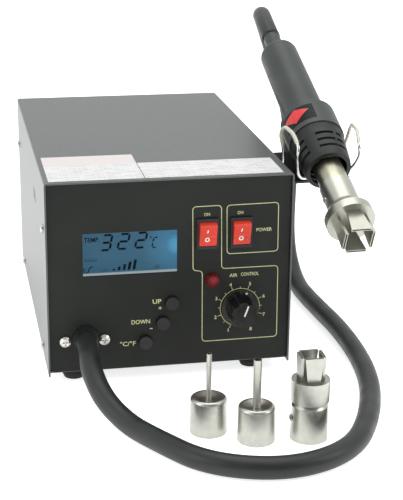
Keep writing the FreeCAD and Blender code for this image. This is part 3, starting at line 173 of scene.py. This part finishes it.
class Surface:
    """A procedural material built round one Principled shader."""

    def __init__(self, name, colour, roughness, metallic=0.0, specular=0.5):
        self.material = bpy.data.materials.new(name)
        self.material.use_nodes = True
        self.tree = self.material.node_tree
        self.shader = self.tree.nodes["Principled BSDF"]
        self.set("Base Color", (*colour, 1))
        self.set("Roughness", roughness)
        self.set("Metallic", metallic)
        self.set("Specular IOR Level", specular)
        self.colour = colour
        self.place = self.tree.nodes.new("ShaderNodeTexCoord").outputs["Object"]
        self.normal = None

    def set(self, socket, value):
        self.shader.inputs[socket].default_value = value
        return self

    def add(self, kind, **values):
        item = self.tree.nodes.new(kind)
        for key, value in values.items():
            if hasattr(item, key):
                setattr(item, key, value)
            else:
                item.inputs[key.replace("_", " ")].default_value = value
        return item

    def link(self, start, end):
        self.tree.links.new(start, end)
        return self

    def stretched(self, scale):
        """Object coordinates, scaled along each axis."""
        mapping = self.tree.nodes.new("ShaderNodeMapping")
        mapping.inputs["Scale"].default_value = scale
        self.link(self.place, mapping.inputs["Vector"])
        return mapping.outputs[0]

    def noise(self, scale, detail=4.0, place=None):
        item = self.add("ShaderNodeTexNoise", Scale=scale, Detail=detail)
        self.link(place or self.place, item.inputs["Vector"])
        return item.outputs[0]

    def axis(self, letter):
        """One of the object coordinates, in metres."""
        item = self.add("ShaderNodeSeparateXYZ")
        self.link(self.place, item.inputs[0])
        return item.outputs[letter]

    def ranged(self, value, low, high, start=0.3, end=0.7):
        """A value carried from start..end to low..high, and kept inside it."""
        item = self.add("ShaderNodeMapRange")
        for i, number in enumerate((start, end, low, high), start=1):
            item.inputs[i].default_value = number
        self.link(value, item.inputs[0])
        return item.outputs[0]

    def mixed(self, factor, first, second):
        """A linked colour where the factor is 0, and a plain one where it is 1."""
        item = self.add("ShaderNodeMix", data_type="RGBA")
        self.link(factor, item.inputs["Factor"]).link(first, item.inputs[6])
        item.inputs[7].default_value = (*second, 1)
        return item.outputs[2]

    def tint(self, value, first, second, start=0.35, end=0.65):
        """Base colour from the first to the second, as a value goes from start to end."""
        item = self.add("ShaderNodeValToRGB")
        stops = zip(item.color_ramp.elements, (start, end), (first, second))
        for element, position, colour in stops:
            element.position = position
            element.color = (*colour, 1)
        self.link(value, item.inputs[0])
        self.link(item.outputs[0], self.shader.inputs["Base Color"])
        return self

    def vary(self, scale, amount, place=None):
        """Slightly lighter and darker patches."""
        dark = tuple(c * (1 - amount) for c in self.colour)
        light = tuple(min(1, c * (1 + amount)) for c in self.colour)
        return self.tint(self.noise(scale, 5.0, place), dark, light)

    def uneven(self, scale, low, high, place=None):
        """Roughness that changes over the surface."""
        changing = self.ranged(self.noise(scale, 6.0, place), low, high)
        return self.link(changing, self.shader.inputs["Roughness"])

    def bump(self, height, depth, strength=1.0):
        item = self.add("ShaderNodeBump", Strength=strength, Distance=depth)
        self.link(height, item.inputs["Height"])
        if self.normal is not None:
            self.link(self.normal, item.inputs["Normal"])
        self.normal = item.outputs[0]
        return self.link(self.normal, self.shader.inputs["Normal"])

    def grain(self, scale, depth, strength=1.0):
        return self.bump(self.noise(scale, 2.0), depth, strength)


def along_hand(surface):
    """Distance along the hand piece from its origin, in metres."""
    shift = surface.add("ShaderNodeVectorMath", operation="SUBTRACT")
    shift.inputs[1].default_value = HAND
    dot = surface.add("ShaderNodeVectorMath", operation="DOT_PRODUCT")
    dot.inputs[1].default_value = ALONG
    surface.link(surface.place, shift.inputs[0])
    surface.link(shift.outputs[0], dot.inputs[0])
    return dot.outputs["Value"]


def heat_tint(surface, gain, offset, near, far):
    """Base colour that changes along the hand piece, as metres * gain + offset goes from 0 to 1."""
    heat = surface.add("ShaderNodeMath", operation="MULTIPLY_ADD")
    heat.inputs[1].default_value = gain
    heat.inputs[2].default_value = offset
    surface.link(along_hand(surface), heat.inputs[0])
    surface.tint(heat.outputs[0], near, far, 0.0, 1.0)


case_paint = Surface("case_paint", (0.030, 0.038, 0.037), 0.31, specular=0.95)
case_paint.vary(400, 0.1).uneven(700, 0.31, 0.37).grain(2600, 0.00003, 0.25)

panel_paint = Surface("panel_paint", (0.0105, 0.0125, 0.0105), 0.42, specular=0.22)
panel_paint.vary(14, 0.2).uneven(40, 0.38, 0.48).grain(3000, 0.00003, 0.25)

bracket_paint = Surface("bracket_paint", (0.012, 0.013, 0.013), 0.38, specular=0.4)
bracket_paint.vary(20, 0.25).uneven(60, 0.33, 0.46).grain(2600, 0.00003, 0.3)

rubber = Surface("rubber", (0.014, 0.014, 0.014), 0.7, specular=0.3)
rubber.vary(60, 0.3).uneven(90, 0.6, 0.8).grain(1800, 0.00006, 0.5)

hose_skin = Surface("hose_skin", (0.0135, 0.0165, 0.0155), 0.4, specular=0.4)
hose_skin.vary(35, 0.28).uneven(70, 0.36, 0.52).grain(1500, 0.00005, 0.35)

grip_plastic = Surface("grip_plastic", (0.031, 0.038, 0.035), 0.4, specular=0.42)
grip_plastic.vary(40, 0.15).uneven(80, 0.36, 0.48).grain(3200, 0.00004, 0.35)

ring_plastic = Surface("ring_plastic", (0.011, 0.013, 0.013), 0.44, specular=0.35)
ring_plastic.vary(50, 0.2).uneven(90, 0.38, 0.52).grain(2800, 0.00005, 0.4)

gloss_black = Surface("gloss_black", (0.008, 0.008, 0.008), 0.14, specular=0.55)
gloss_black.vary(80, 0.3).uneven(120, 0.1, 0.22).grain(900, 0.00002, 0.15)

matte_black = Surface("matte_black", (0.013, 0.013, 0.013), 0.45, specular=0.4)
matte_black.vary(80, 0.3).uneven(120, 0.4, 0.55).grain(2600, 0.00004, 0.4)

zinc = Surface("zinc", (0.62, 0.61, 0.57), 0.3, 1.0)
zinc.vary(300, 0.18).uneven(500, 0.22, 0.42).grain(2500, 0.00002, 0.4)

nickel_wire = Surface("nickel_wire", (0.70, 0.69, 0.65), 0.14, 1.0)
nickel_wire.vary(120, 0.06).uneven(300, 0.1, 0.2).grain(900, 0.00001, 0.15)

steel = Surface("satin_stainless", (0.47, 0.475, 0.425), 0.3, 1.0)
lathe = steel.stretched((260, 260, 5200))
steel.vary(150, 0.05).uneven(240, 0.27, 0.36).bump(steel.noise(1.0, 3.0, lathe), 0.00001, 0.25)

nozzle_steel = Surface("nozzle_stainless", (0.50, 0.50, 0.45), 0.3, 1.0)
nozzle_steel.uneven(200, 0.3, 0.4).grain(1600, 0.00001, 0.3)
heat_tint(nozzle_steel, 14.0, -1.15, (0.48, 0.48, 0.42), (0.40, 0.40, 0.35))

pipe_steel = Surface("heated_stainless", (0.50, 0.46, 0.36), 0.3, 1.0)
pipe_steel.uneven(160, 0.28, 0.4).grain(1500, 0.00001, 0.3)
heat_tint(pipe_steel, 30.0, -1.6, (0.36, 0.345, 0.235), (0.47, 0.47, 0.38))

rocker_red = Surface("rocker_red", (0.60, 0.042, 0.022), 0.25, specular=0.35)
rocker_red.vary(50, 0.1).uneven(120, 0.18, 0.3).grain(1200, 0.00002, 0.2)
# painted light: a faint red glow brightens the rockers
rocker_red.set("Emission Color", (0.9, 0.055, 0.02, 1)).set("Emission Strength", 0.06)
rocker_red.set("Subsurface Weight", 0.15).set("Subsurface Scale", 0.002)

lens_red = Surface("lens_red", (0.16, 0.002, 0.004), 0.12, specular=0.25)
lens_red.uneven(300, 0.08, 0.2)
LENS_SCALE = 100  # the distance from the lamp's axis is in centimetres
lens_low, lens_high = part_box("lamp_lens")
lens_middle = (lens_low + lens_high) / 2 * LENS_SCALE
# painted light and shade: the lens is coloured lighter at its centre and darker towards its rim
from_axis = lens_red.add("ShaderNodeVectorMath", operation="DISTANCE")
from_axis.inputs[1].default_value = (lens_middle.x, 0, lens_middle.z)
lens_red.link(lens_red.stretched((LENS_SCALE, 0, LENS_SCALE)), from_axis.inputs[0])
lens_red.tint(from_axis.outputs["Value"], (0.26, 0.004, 0.007), (0.10, 0.002, 0.004), 0.14, 0.26)
lens_red.set("Coat Weight", 0.15).set("Coat Roughness", 0.08)

glazing = Surface("clear_window", (0.01, 0.013, 0.015), 0.05, specular=0.3)
glazing.uneven(60, 0.03, 0.09)
glazing.set("Alpha", 0.06)

sleeve_clear = Surface("clear_sleeve", (0.80, 0.79, 0.66), 0.12, specular=0.6)
sleeve_clear.vary(200, 0.06).uneven(300, 0.09, 0.18)
sleeve_clear.set("Alpha", 0.45)

gold_ink = Surface("gold_ink", (0.50, 0.51, 0.26), 0.45)
gold_ink.vary(900, 0.12).grain(4000, 0.00001, 0.3)
# painted light: a faint glow of the ink's own colour brightens all the gold printing
gold_ink.set("Emission Color", (0.50, 0.51, 0.26, 1)).set("Emission Strength", 0.12)

white_ink = Surface("white_ink", (0.78, 0.78, 0.76), 0.4)
white_ink.vary(900, 0.08).grain(4000, 0.00001, 0.3)

label_black = Surface("label_black", (0.003, 0.005, 0.005), 0.35, specular=0.15)
label_black.vary(300, 0.25).uneven(400, 0.3, 0.4)

label_red = Surface("label_red", (0.62, 0.022, 0.025), 0.3)
label_red.vary(300, 0.12).uneven(400, 0.25, 0.36)

lcd_ink = Surface("lcd_segment", (0.002, 0.004, 0.010), 0.5, specular=0.05)
lcd_ink.vary(900, 0.2)
lcd_faint = Surface("lcd_faint_segment", (0.012, 0.03, 0.05), 0.5, specular=0.05)
lcd_faint.vary(900, 0.2)

board = Surface("circuit_board", (0.015, 0.10, 0.04), 0.4)
board.vary(300, 0.3).uneven(400, 0.3, 0.5)
metal_part = Surface("cast_metal", (0.5, 0.5, 0.5), 0.42, 1.0)
metal_part.vary(80, 0.15).uneven(200, 0.35, 0.5).grain(900, 0.00006, 0.5)
copper = Surface("winding", (0.42, 0.13, 0.04), 0.3, 0.8)
copper.vary(120, 0.2).bump(copper.noise(1.0, 1.0, copper.stretched((200, 200, 2600))), 0.0001)
brass = Surface("brass", (0.62, 0.47, 0.2), 0.28, 1.0)
brass.vary(200, 0.12).uneven(300, 0.22, 0.36)
ceramic = Surface("ceramic", (0.6, 0.57, 0.5), 0.6)
ceramic.vary(200, 0.12).grain(1500, 0.00005, 0.5)

floor_paint = Surface("floor_paint", (0.80, 0.80, 0.80), 0.8, specular=0.1)
floor_paint.vary(2, 0.01)
floor_paint.set("Emission Color", (1, 1, 1, 1)).set("Emission Strength", 0.75)
floor.data.materials.append(floor_paint.material)

# the lit display: steel blue, with a bright spot at its right edge and a pale lower edge
lcd = Surface("lit_display", (0.01, 0.03, 0.05), 0.4, specular=0.1)
GLOW_SCALE = 15.0  # per metre: the glow's colours are spread over 1 / 15 m
BAND_TOP, BAND_FULL = 73.1, 72.3  # the pale edge starts and is full here, mm up the panel
LAMP_AT = on_panel(95.4, 91.2)
spot = lcd.add("ShaderNodeVectorMath", operation="DISTANCE")
spot.inputs[1].default_value = (LAMP_AT.x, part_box("lcd_module")[0].y, LAMP_AT.z)
lcd.link(lcd.place, spot.inputs[0])
glow = lcd.add("ShaderNodeValToRGB")
glow.color_ramp.elements[0].position = 0.0
glow.color_ramp.elements[0].color = (0.35, 0.85, 1.0, 1)
glow.color_ramp.elements[1].position = 1.0
glow.color_ramp.elements[1].color = (0.042, 0.115, 0.18, 1)
for position, colour in ((0.06, (0.13, 0.50, 0.80)), (0.16, (0.06, 0.20, 0.33)),
                         (0.4, (0.044, 0.125, 0.19))):
    glow.color_ramp.elements.new(position).color = (*colour, 1)
reach = lcd.add("ShaderNodeMath", operation="MULTIPLY")
reach.inputs[1].default_value = GLOW_SCALE
lcd.link(spot.outputs["Value"], reach.inputs[0]).link(reach.outputs[0], glow.inputs[0])
edge = lcd.ranged(lcd.axis("Z"), 0.0, 1.0, on_panel(0, BAND_TOP).z, on_panel(0, BAND_FULL).z)
pale = lcd.mixed(edge, glow.outputs[0], (0.36, 0.42, 0.42))
lcd.link(pale, lcd.shader.inputs["Emission Color"])
lcd.set("Emission Strength", 0.95)

# printed film on the cover: rows of illegible grey marks, and plain pinkish film behind them
PLAIN_FROM, PLAIN_FULL = 44.0, 45.5  # mm back from the cover's front edge
label = Surface("printed_film", (0.60, 0.60, 0.60), 0.35, specular=0.5)
rows = label.add("ShaderNodeTexBrick")
rows.offset = 0.37
for socket, value in (
    ("Scale", 1.0), ("Mortar Size", 0.62), ("Brick Width", 7.5), ("Row Height", 2.9),
    ("Mortar Smooth", 0.6), ("Color1", (0.46, 0.46, 0.46, 1)),
    ("Color2", (0.62, 0.62, 0.615, 1)), ("Mortar", (0.66, 0.66, 0.655, 1)),
):
    rows.inputs[socket].default_value = value
label.link(label.stretched((1000, 1000, 1)), rows.inputs["Vector"])
plain = label.ranged(label.axis("Y"), 0.0, 1.0, in_case(0, PLAIN_FROM, 0).y,
                     in_case(0, PLAIN_FULL, 0).y)
pinkish = label.mixed(plain, rows.outputs[0], (0.60, 0.55, 0.54))
label.link(pinkish, label.shader.inputs["Base Color"])
label.uneven(300, 0.3, 0.4)


# ---------------------------------------------------------------- finishes for the CAD parts

FINISH = {
    "top_cover": case_paint, "base_tray": case_paint, "rear_panel": case_paint,
    "front_panel": panel_paint, "case_screws": zinc, "gland_screws": zinc, "rubber_feet": rubber,
    "lcd_window": glazing, "lcd_module": lcd, "display_board": board, "board_standoffs": brass,
    "button_up": matte_black, "button_down": matte_black, "button_unit": matte_black,
    "key_switches": matte_black, "power_switch_housing": matte_black,
    "air_switch_housing": matte_black, "power_rocker": rocker_red, "air_rocker": rocker_red,
    "blade_terminals": brass, "lamp_lens": lens_red, "lamp_led": lens_red,
    "air_knob": gloss_black, "pot_body": metal_part, "pot_shaft": zinc, "pot_nut": zinc,
    "hose_gland": ring_plastic, "handle_grip": grip_plastic, "hose_boot": grip_plastic,
    "handle_collar": grip_plastic, "vent_ring": ring_plastic, "mica_spacers": ceramic,
    "heater_pipe": pipe_steel, "heater_core": ceramic, "heater_windings": steel,
    "nozzle_sleeve": nozzle_steel, "nozzle_head": nozzle_steel, "nozzle_screws": zinc,
    "spare_fine_cup": steel, "spare_fine_tube": steel, "spare_wide_cup": steel,
    "spare_wide_tube": steel, "spare_quad_sleeve": steel, "spare_quad_head": steel,
    "holder_bracket": bracket_paint, "wire_cradle": nickel_wire, "cradle_sleeves": sleeve_clear,
    "pump_body": metal_part, "pump_heads": metal_part, "pump_mounts": rubber,
    "air_tube": hose_skin, "transformer_core": bracket_paint, "transformer_coil": copper,
    "control_board": board, "board_components": metal_part, "power_inlet": matte_black,
    "fuse_holder": matte_black, "fuse_cap": matte_black, "top_labels": label,
}
EDGE_ANGLE = math.radians(35)  # only edges sharper than this are softened
EDGES = {  # bevel widths, mm
    "top_cover": 0.7, "base_tray": 0.4, "rear_panel": 0.4, "front_panel": 0.3,
    "holder_bracket": 0.3,
    "air_knob": 0.3, "lamp_lens": 0.1, "power_rocker": 0.35, "air_rocker": 0.35,
    "power_switch_housing": 0.35, "air_switch_housing": 0.35, "button_up": 0.4,
    "button_down": 0.4, "button_unit": 0.4, "handle_grip": 0.4, "handle_collar": 0.8,
    "vent_ring": 0.35,
    "hose_boot": 0.4, "hose_gland": 0.4, "power_inlet": 0.4, "fuse_cap": 0.4, "rubber_feet": 0.5,
    "nozzle_sleeve": 0.2, "nozzle_head": 0.2, "spare_fine_cup": 0.25, "spare_wide_cup": 0.25,
    "spare_quad_sleeve": 0.25, "spare_quad_head": 0.2, "case_screws": 0.15, "gland_screws": 0.15,
}
for name, surface in FINISH.items():
    part = nodes[name]
    part.data.materials.clear()
    part.data.materials.append(surface.material)
    if name in EDGES:
        bevel = part.modifiers.new("soft_edges", "BEVEL")
        bevel.width = EDGES[name] * MM
        bevel.segments = 2
        bevel.limit_method = "ANGLE"
        bevel.angle_limit = EDGE_ANGLE
        bevel.harden_normals = True


# ---------------------------------------------------------------- the air hose

def evaluated_mesh(piece):
    """The mesh of a curve or a text."""
    bpy.context.view_layer.update()
    return bpy.data.meshes.new_from_object(
        piece.evaluated_get(bpy.context.evaluated_depsgraph_get()))


HOSE_DIAMETER = 15.0 * MM
ROUTE = [  # mm from the cover's lower front left corner
    (27.3, -2, 27.6), (27.3, -17, 27.6), (26, -38.5, 20.5), (32, -62, 8.5), (45, -83, -0.5),
    (59, -108, -0.5), (87, -149.5, -0.5), (137, -165, -0.5), (183, -146, -0.5),
    (211, -96, -0.5), (230, -33.5, -0.5), (235, 43, -0.5), (229, 112.5, -0.5),
    (226.5, 163, -0.5), (229, 207.5, 21), (241, 250.5, 56.5), (252, 281, 103),
    (248, 303, 143), (235, 301, 179), (221.2, 279.5, 207.5), (210.7, 247, 219.8),
]
BOOT_STATIONS = (-134.9, -112.9)  # the hose's last two points, on the hand piece's axis
points = [in_case(*place) for place in ROUTE] + [on_hand(station) for station in BOOT_STATIONS]
route = bpy.data.curves.new("hose_route", "CURVE")
route.dimensions = "3D"
spline = route.splines.new("NURBS")
spline.points.add(len(points) - 1)
for item, point in zip(spline.points, points):
    item.co = (*point, 1)
spline.order_u = 3
spline.use_endpoint_u = True
spline.resolution_u = 14
line_object = bpy.data.objects.new("hose_route", route)
scene.collection.objects.link(line_object)
line = evaluated_mesh(line_object)
path = [v.co.copy() for v in line.vertices]
bpy.data.objects.remove(line_object)


def tube(name, path, radius, around=32):
    """A tube round a path, with its ring carried along without twist."""
    verts, faces = [], []
    heading = (path[1] - path[0]).normalized()
    out = heading.orthogonal().normalized()
    for i, point in enumerate(path):
        ahead = (path[min(i + 1, len(path) - 1)] - path[max(i - 1, 0)]).normalized()
        out = (heading.rotation_difference(ahead) @ out).normalized()
        out = (out - ahead * out.dot(ahead)).normalized()
        heading = ahead
        across = ahead.cross(out)
        for k in range(around):
            a = 2 * math.pi * k / around
            verts.append(point + (out * math.cos(a) + across * math.sin(a)) * radius)
    for i in range(len(path) - 1):
        for k in range(around):
            n = (k + 1) % around
            here, there = i * around, (i + 1) * around
            faces.append((here + k, here + n, there + n, there + k))
    faces.append(tuple(reversed(range(around))))
    faces.append(tuple(range((len(path) - 1) * around, len(path) * around)))
    return mesh_object(name, verts, faces, smooth=True)


hose = tube("air_hose_tube", path, HOSE_DIAMETER / 2)
hose.data.materials.append(hose_skin.material)
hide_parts("air_hose")
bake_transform(hose)


# ---------------------------------------------------------------- printing

def finish_piece(piece, surface, body):
    """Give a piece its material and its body."""
    piece.data.materials.clear()
    piece.data.materials.append(surface.material)
    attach(piece, body)
    return piece


MITRE_LIMIT = 0.5  # keeps a sharp corner's point from growing long


def ribbon(points, width, closed=False):
    """Corners and faces of a flat line on the panel, given in panel millimetres."""
    flat = [Vector(p) for p in points]
    count = len(flat)
    verts, faces = [], []
    for i, point in enumerate(flat):
        before = flat[i - 1] if (closed or i > 0) else point
        after = flat[(i + 1) % count] if (closed or i < count - 1) else point
        one = (point - before).normalized() if (point - before).length > 1e-9 else None
        two = (after - point).normalized() if (after - point).length > 1e-9 else None
        one, two = one or two, two or one
        mean = (one + two).normalized()
        side = Vector((-mean.y, mean.x))
        half_turn = math.sqrt(max(0.0, (1 + one.dot(two)) / 2))
        reach = width / 2 / max(MITRE_LIMIT, half_turn)
        verts += [point + side * reach, point - side * reach]
    for i in range(count if closed else count - 1):
        n = (i + 1) % count
        faces.append((2 * i, 2 * i + 1, 2 * n + 1, 2 * n))
    return verts, faces


def printed(name, shapes, surface, body="case", proud=PRINT_PROUD):
    """One thin mesh on the panel from several flat shapes."""
    verts, faces = [], []
    for shape_verts, shape_faces in shapes:
        start = len(verts)
        verts += [on_panel(v[0], v[1], proud) for v in shape_verts]
        faces += [tuple(start + i for i in face) for face in shape_faces]
    return finish_piece(mesh_object(name, verts, faces), surface, body)


def softened(corners, radius, steps=5):
    """A closed outline with its corners rounded, for printed lines."""
    points = []
    count = len(corners)
    for i in range(count):
        here = Vector(corners[i])
        before = (Vector(corners[i - 1]) - here).normalized()
        after = (Vector(corners[(i + 1) % count]) - here).normalized()
        half = before.angle(after) / 2
        reach = radius / math.tan(half)
        centre = here + (before + after).normalized() * radius / math.sin(half)
        first, last = here + before * reach - centre, here + after * reach - centre
        turn = math.atan2(first.x * last.y - first.y * last.x, first.dot(last))
        for k in range(steps + 1):
            a = turn * k / steps
            spun = Vector((first.x * math.cos(a) - first.y * math.sin(a),
                           first.x * math.sin(a) + first.y * math.cos(a)))
            points.append(centre + spun)
    return points


def lettering(text, centre, height, width=None, bold=0.0, slant=0.0):
    """Flat shapes of some text, fitted to a height and a width in millimetres."""
    data = bpy.data.curves.new("text", "FONT")
    data.body = text
    data.shear = slant
    data.offset = bold
    data.resolution_u = 4
    holder = bpy.data.objects.new("text", data)
    scene.collection.objects.link(holder)
    mesh = evaluated_mesh(holder)
    bpy.data.objects.remove(holder)
    flat = [(v.co.x, v.co.y) for v in mesh.vertices]
    faces = [tuple(p.vertices) for p in mesh.polygons]
    low = Vector((min(p[0] for p in flat), min(p[1] for p in flat)))
    high = Vector((max(p[0] for p in flat), max(p[1] for p in flat)))
    tall = height / (high.y - low.y)
    wide = width / (high.x - low.x) if width else tall
    middle = (low + high) / 2
    verts = [(centre[0] + (x - middle.x) * wide, centre[1] + (y - middle.y) * tall)
             for x, y in flat]
    return verts, faces


def disc(centre, radius, count):
    """Points round a circle, in millimetres."""
    turns = [2 * math.pi * k / count for k in range(count)]
    return [(centre[0] + radius * math.cos(a), centre[1] + radius * math.sin(a)) for a in turns]


AIR_OUTLINE = [(104.8, 122.3), (125.6, 122.5), (126.4, 74.8), (168.2, 74.8), (168.8, 19.3),
               (112.6, 19.0), (112.2, 73.6), (105.4, 74.6)]
POWER_OUTLINE = [(129.6, 122.3), (167.4, 122.8), (167.8, 86.0), (130.2, 85.8)]
CORNER_RADIUS, OUTLINE_WIDTH = 2.6, 0.55
printed("panel_outlines", [
    ribbon(softened(outline, CORNER_RADIUS), OUTLINE_WIDTH, closed=True)
    for outline in (AIR_OUTLINE, POWER_OUTLINE)
], gold_ink)

KNOB_AT = Vector((140.5, 44.0))


def around_knob(clockwise, radius):
    """A point round the knob's axis, with degrees clockwise from the top."""
    a = math.radians(clockwise)
    return KNOB_AT + Vector((math.sin(a), math.cos(a))) * radius


DIAL_START = -154
DIAL_RADIUS, DIAL_LINE = 14.7, 0.42
LONG_MARK, SHORT_MARK, FIGURES = 17.5, 16.3, 19.3  # radii of the marks' ends and the figures
dial = [ribbon([around_knob(DIAL_START + 2 * k, DIAL_RADIUS) for k in range(155)], DIAL_LINE)]
for k in range(13):
    angle = DIAL_START + 22 * k
    mark_end = LONG_MARK if k % 2 == 0 else SHORT_MARK
    dial.append(ribbon([around_knob(angle, DIAL_RADIUS), around_knob(angle, mark_end)], DIAL_LINE))
for k in range(8):
    dial.append(lettering(str(k + 1), around_knob(DIAL_START + 44 * k, FIGURES), 2.7, bold=0.02))
printed("dial_printing", dial, gold_ink)

printed("panel_lettering", [
    lettering("ON", (115.2, 116.2), 2.4, 4.2, bold=0.01),
    lettering("ON", (139.4, 116.5), 2.4, 4.2, bold=0.01),
    lettering("POWER", (157.2, 102.9), 2.6, 11.4, bold=0.012),
    lettering("AIR", (135.2, 69.2), 2.6, 5.9, bold=0.012),
    lettering("CONTROL", (147.4, 69.6), 2.6, 13.2, bold=0.012),
    lettering("UP", (79.2, 52.4), 3.4, 6.4, bold=0.015),
    lettering("DOWN", (67.3, 37.4), 3.3, 13.6, bold=0.015),
    lettering("°C/°F", (57.8, 21.0), 3.6, 11.4, bold=0.012),
    ribbon([(80.3, 47.2), (82.7, 47.2)], 0.7), ribbon([(81.5, 46.0), (81.5, 48.4)], 0.7),
    ribbon([(73.8, 31.7), (76.0, 31.7)], 0.7),
], gold_ink)


# ---------------------------------------------------------------- what the display shows

SEGMENT_GAP = 0.28  # between a bar's tip and its corner, mm


def segment_digit(left, low, wide, tall, lean, thick, lit):
    """Lit bars of a slanted seven-segment digit, as flat shapes with pointed ends."""
    half = tall / 2
    ends = {
        "a": ((0, tall), (wide, tall)), "g": ((0, half), (wide, half)), "d": ((0, 0), (wide, 0)),
        "f": ((0, tall), (0, half)), "b": ((wide, tall), (wide, half)),
        "e": ((0, half), (0, 0)), "c": ((wide, half), (wide, 0)),
    }
    shapes = []
    for bar in lit:
        start, end = (Vector(p) for p in ends[bar])
        way = (end - start).normalized()
        start, end = start + way * SEGMENT_GAP, end - way * SEGMENT_GAP
        side = Vector((-way.y, way.x)) * thick / 2
        tip = way * thick / 2
        ring = [start, start + tip + side, end - tip + side, end, end - tip - side,
                start + tip - side]
        slanted = [(left + p.x + lean * p.y / tall, low + p.y) for p in ring]
        shapes.append((slanted, [(5, 4, 3, 2, 1, 0)]))
    return shapes


LCD_PROUD = (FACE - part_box("lcd_module")[0].y) / MM + 0.1
dark = segment_digit(39.3, 92.3, 6.4, 11.05, 2.2, 1.6, "abgcd")
dark += segment_digit(51.4, 92.6, 6.7, 11.0, 2.2, 1.6, "abged")
dark += segment_digit(63.9, 92.9, 6.7, 11.0, 2.2, 1.6, "abged")
dark += segment_digit(76.0, 92.5, 3.3, 7.4, 1.5, 1.0, "afed")
dark.append(ribbon(disc((75.3, 100.4), 0.6, 8), 0.35, closed=True))
dark.append(lettering("TEMP.", (33.0, 100.3), 3.5, 10.8, bold=0.02, slant=0.12))
BARS_LOW, BARS_SLANT = 76.7, 0.19
for left, right, top in ((47.6, 49.5, 77.8), (51.2, 53.2, 79.4), (54.8, 56.8, 81.1),
                         (58.4, 60.4, 82.7), (62.0, 64.0, 84.2)):
    lean = (top - BARS_LOW) * BARS_SLANT
    bar = [(left, BARS_LOW), (right, BARS_LOW), (right + lean, top), (left + lean, top)]
    dark.append((bar, [(0, 1, 2, 3)]))
dark.append(ribbon([(28.6, 76.0), (29.6, 76.0), (30.3, 76.4), (30.9, 78.0), (31.5, 79.6),
                    (32.2, 80.1), (33.7, 80.1)], 0.75))
printed("display_segments", dark, lcd_ink, proud=LCD_PROUD)
printed("display_faint_segments", [
    lettering("FAN", (32.3, 85.0), 2.3, 8.6, slant=0.15),
    lettering("LO", (41.7, 77.2), 1.8, 4.0, slant=0.15),
], lcd_faint, proud=LCD_PROUD)


# ---------------------------------------------------------------- marks laid on moving parts

START_OUT = 60  # mm: marks are brought down on a part from this far away


def laid_on(node, shapes, name, surface, body, aim, lift=0.07, cuts=0):
    """Flat shapes brought down on a CAD part: aim(u, v) gives a start point and a direction."""
    shape = BVHTree.FromObject(nodes[node], bpy.context.evaluated_depsgraph_get())
    work = bmesh.new()
    for shape_verts, shape_faces in shapes:
        made = [work.verts.new((v[0], v[1], 0)) for v in shape_verts]
        for face in shape_faces:
            work.faces.new([made[i] for i in face])
    if cuts:
        bmesh.ops.triangulate(work, faces=work.faces[:])
        for _ in range(cuts):
            bmesh.ops.subdivide_edges(work, edges=work.edges[:], cuts=1, use_grid_fill=True)
    for v in work.verts:
        start, way = aim(v.co.x, v.co.y)
        hit = shape.ray_cast(start, way)[0]
        v.co = (hit if hit else start) - way * lift * MM
    mesh = bpy.data.meshes.new(name)
    work.to_mesh(mesh)
    work.free()
    piece = bpy.data.objects.new(name, mesh)
    scene.collection.objects.link(piece)
    return finish_piece(piece, surface, body)


def from_front(x, z):
    return on_panel(x, z, START_OUT), Vector((0, 1, 0))


for node, x in (("power_rocker", 115.6), ("air_rocker", 140.3)):
    turns = [k * math.pi / 10 for k in range(20)]
    ring = [(x - 0.7 + 1.35 * math.sin(a), 98.4 + 1.35 * math.cos(a)) for a in turns]
    marks = [ribbon([(x - 0.9, 103.8), (x - 0.4, 106.2)], 0.75), ribbon(ring, 0.8, closed=True)]
    laid_on(node, marks, node + "_marks", white_ink, node, from_front)

pointer = around_knob(20, -0.9), around_knob(20, 7.4)
dot = around_knob(19, 12.3)
laid_on("air_knob", [ribbon(pointer, 1.15), (disc(dot, 0.75, 12), [tuple(range(12))])],
        "knob_pointer", white_ink, "air_knob", from_front)


def round_collar(degrees, station):
    out = on_hand(station, degrees, START_OUT)
    return out, (on_hand(station, degrees, 0) - out).normalized()


# corners in degrees round the collar and millimetres along the hand piece
COLLAR_LABEL = [(5, 5.5), (80, 5.5), (80, 22.3), (5, 22.3)]
COLLAR_DIAMOND = [(15.5, 11.0), (44, 6.2), (79, 10.6), (49, 20.0)]
laid_on("handle_collar", [(COLLAR_LABEL, [(0, 1, 2, 3)])], "collar_label",
        label_black, "hand_piece", round_collar, cuts=5)
laid_on("handle_collar", [(COLLAR_DIAMOND, [(0, 1, 2, 3)])],
        "collar_diamond", label_red, "hand_piece", round_collar, lift=0.13,
        cuts=5)
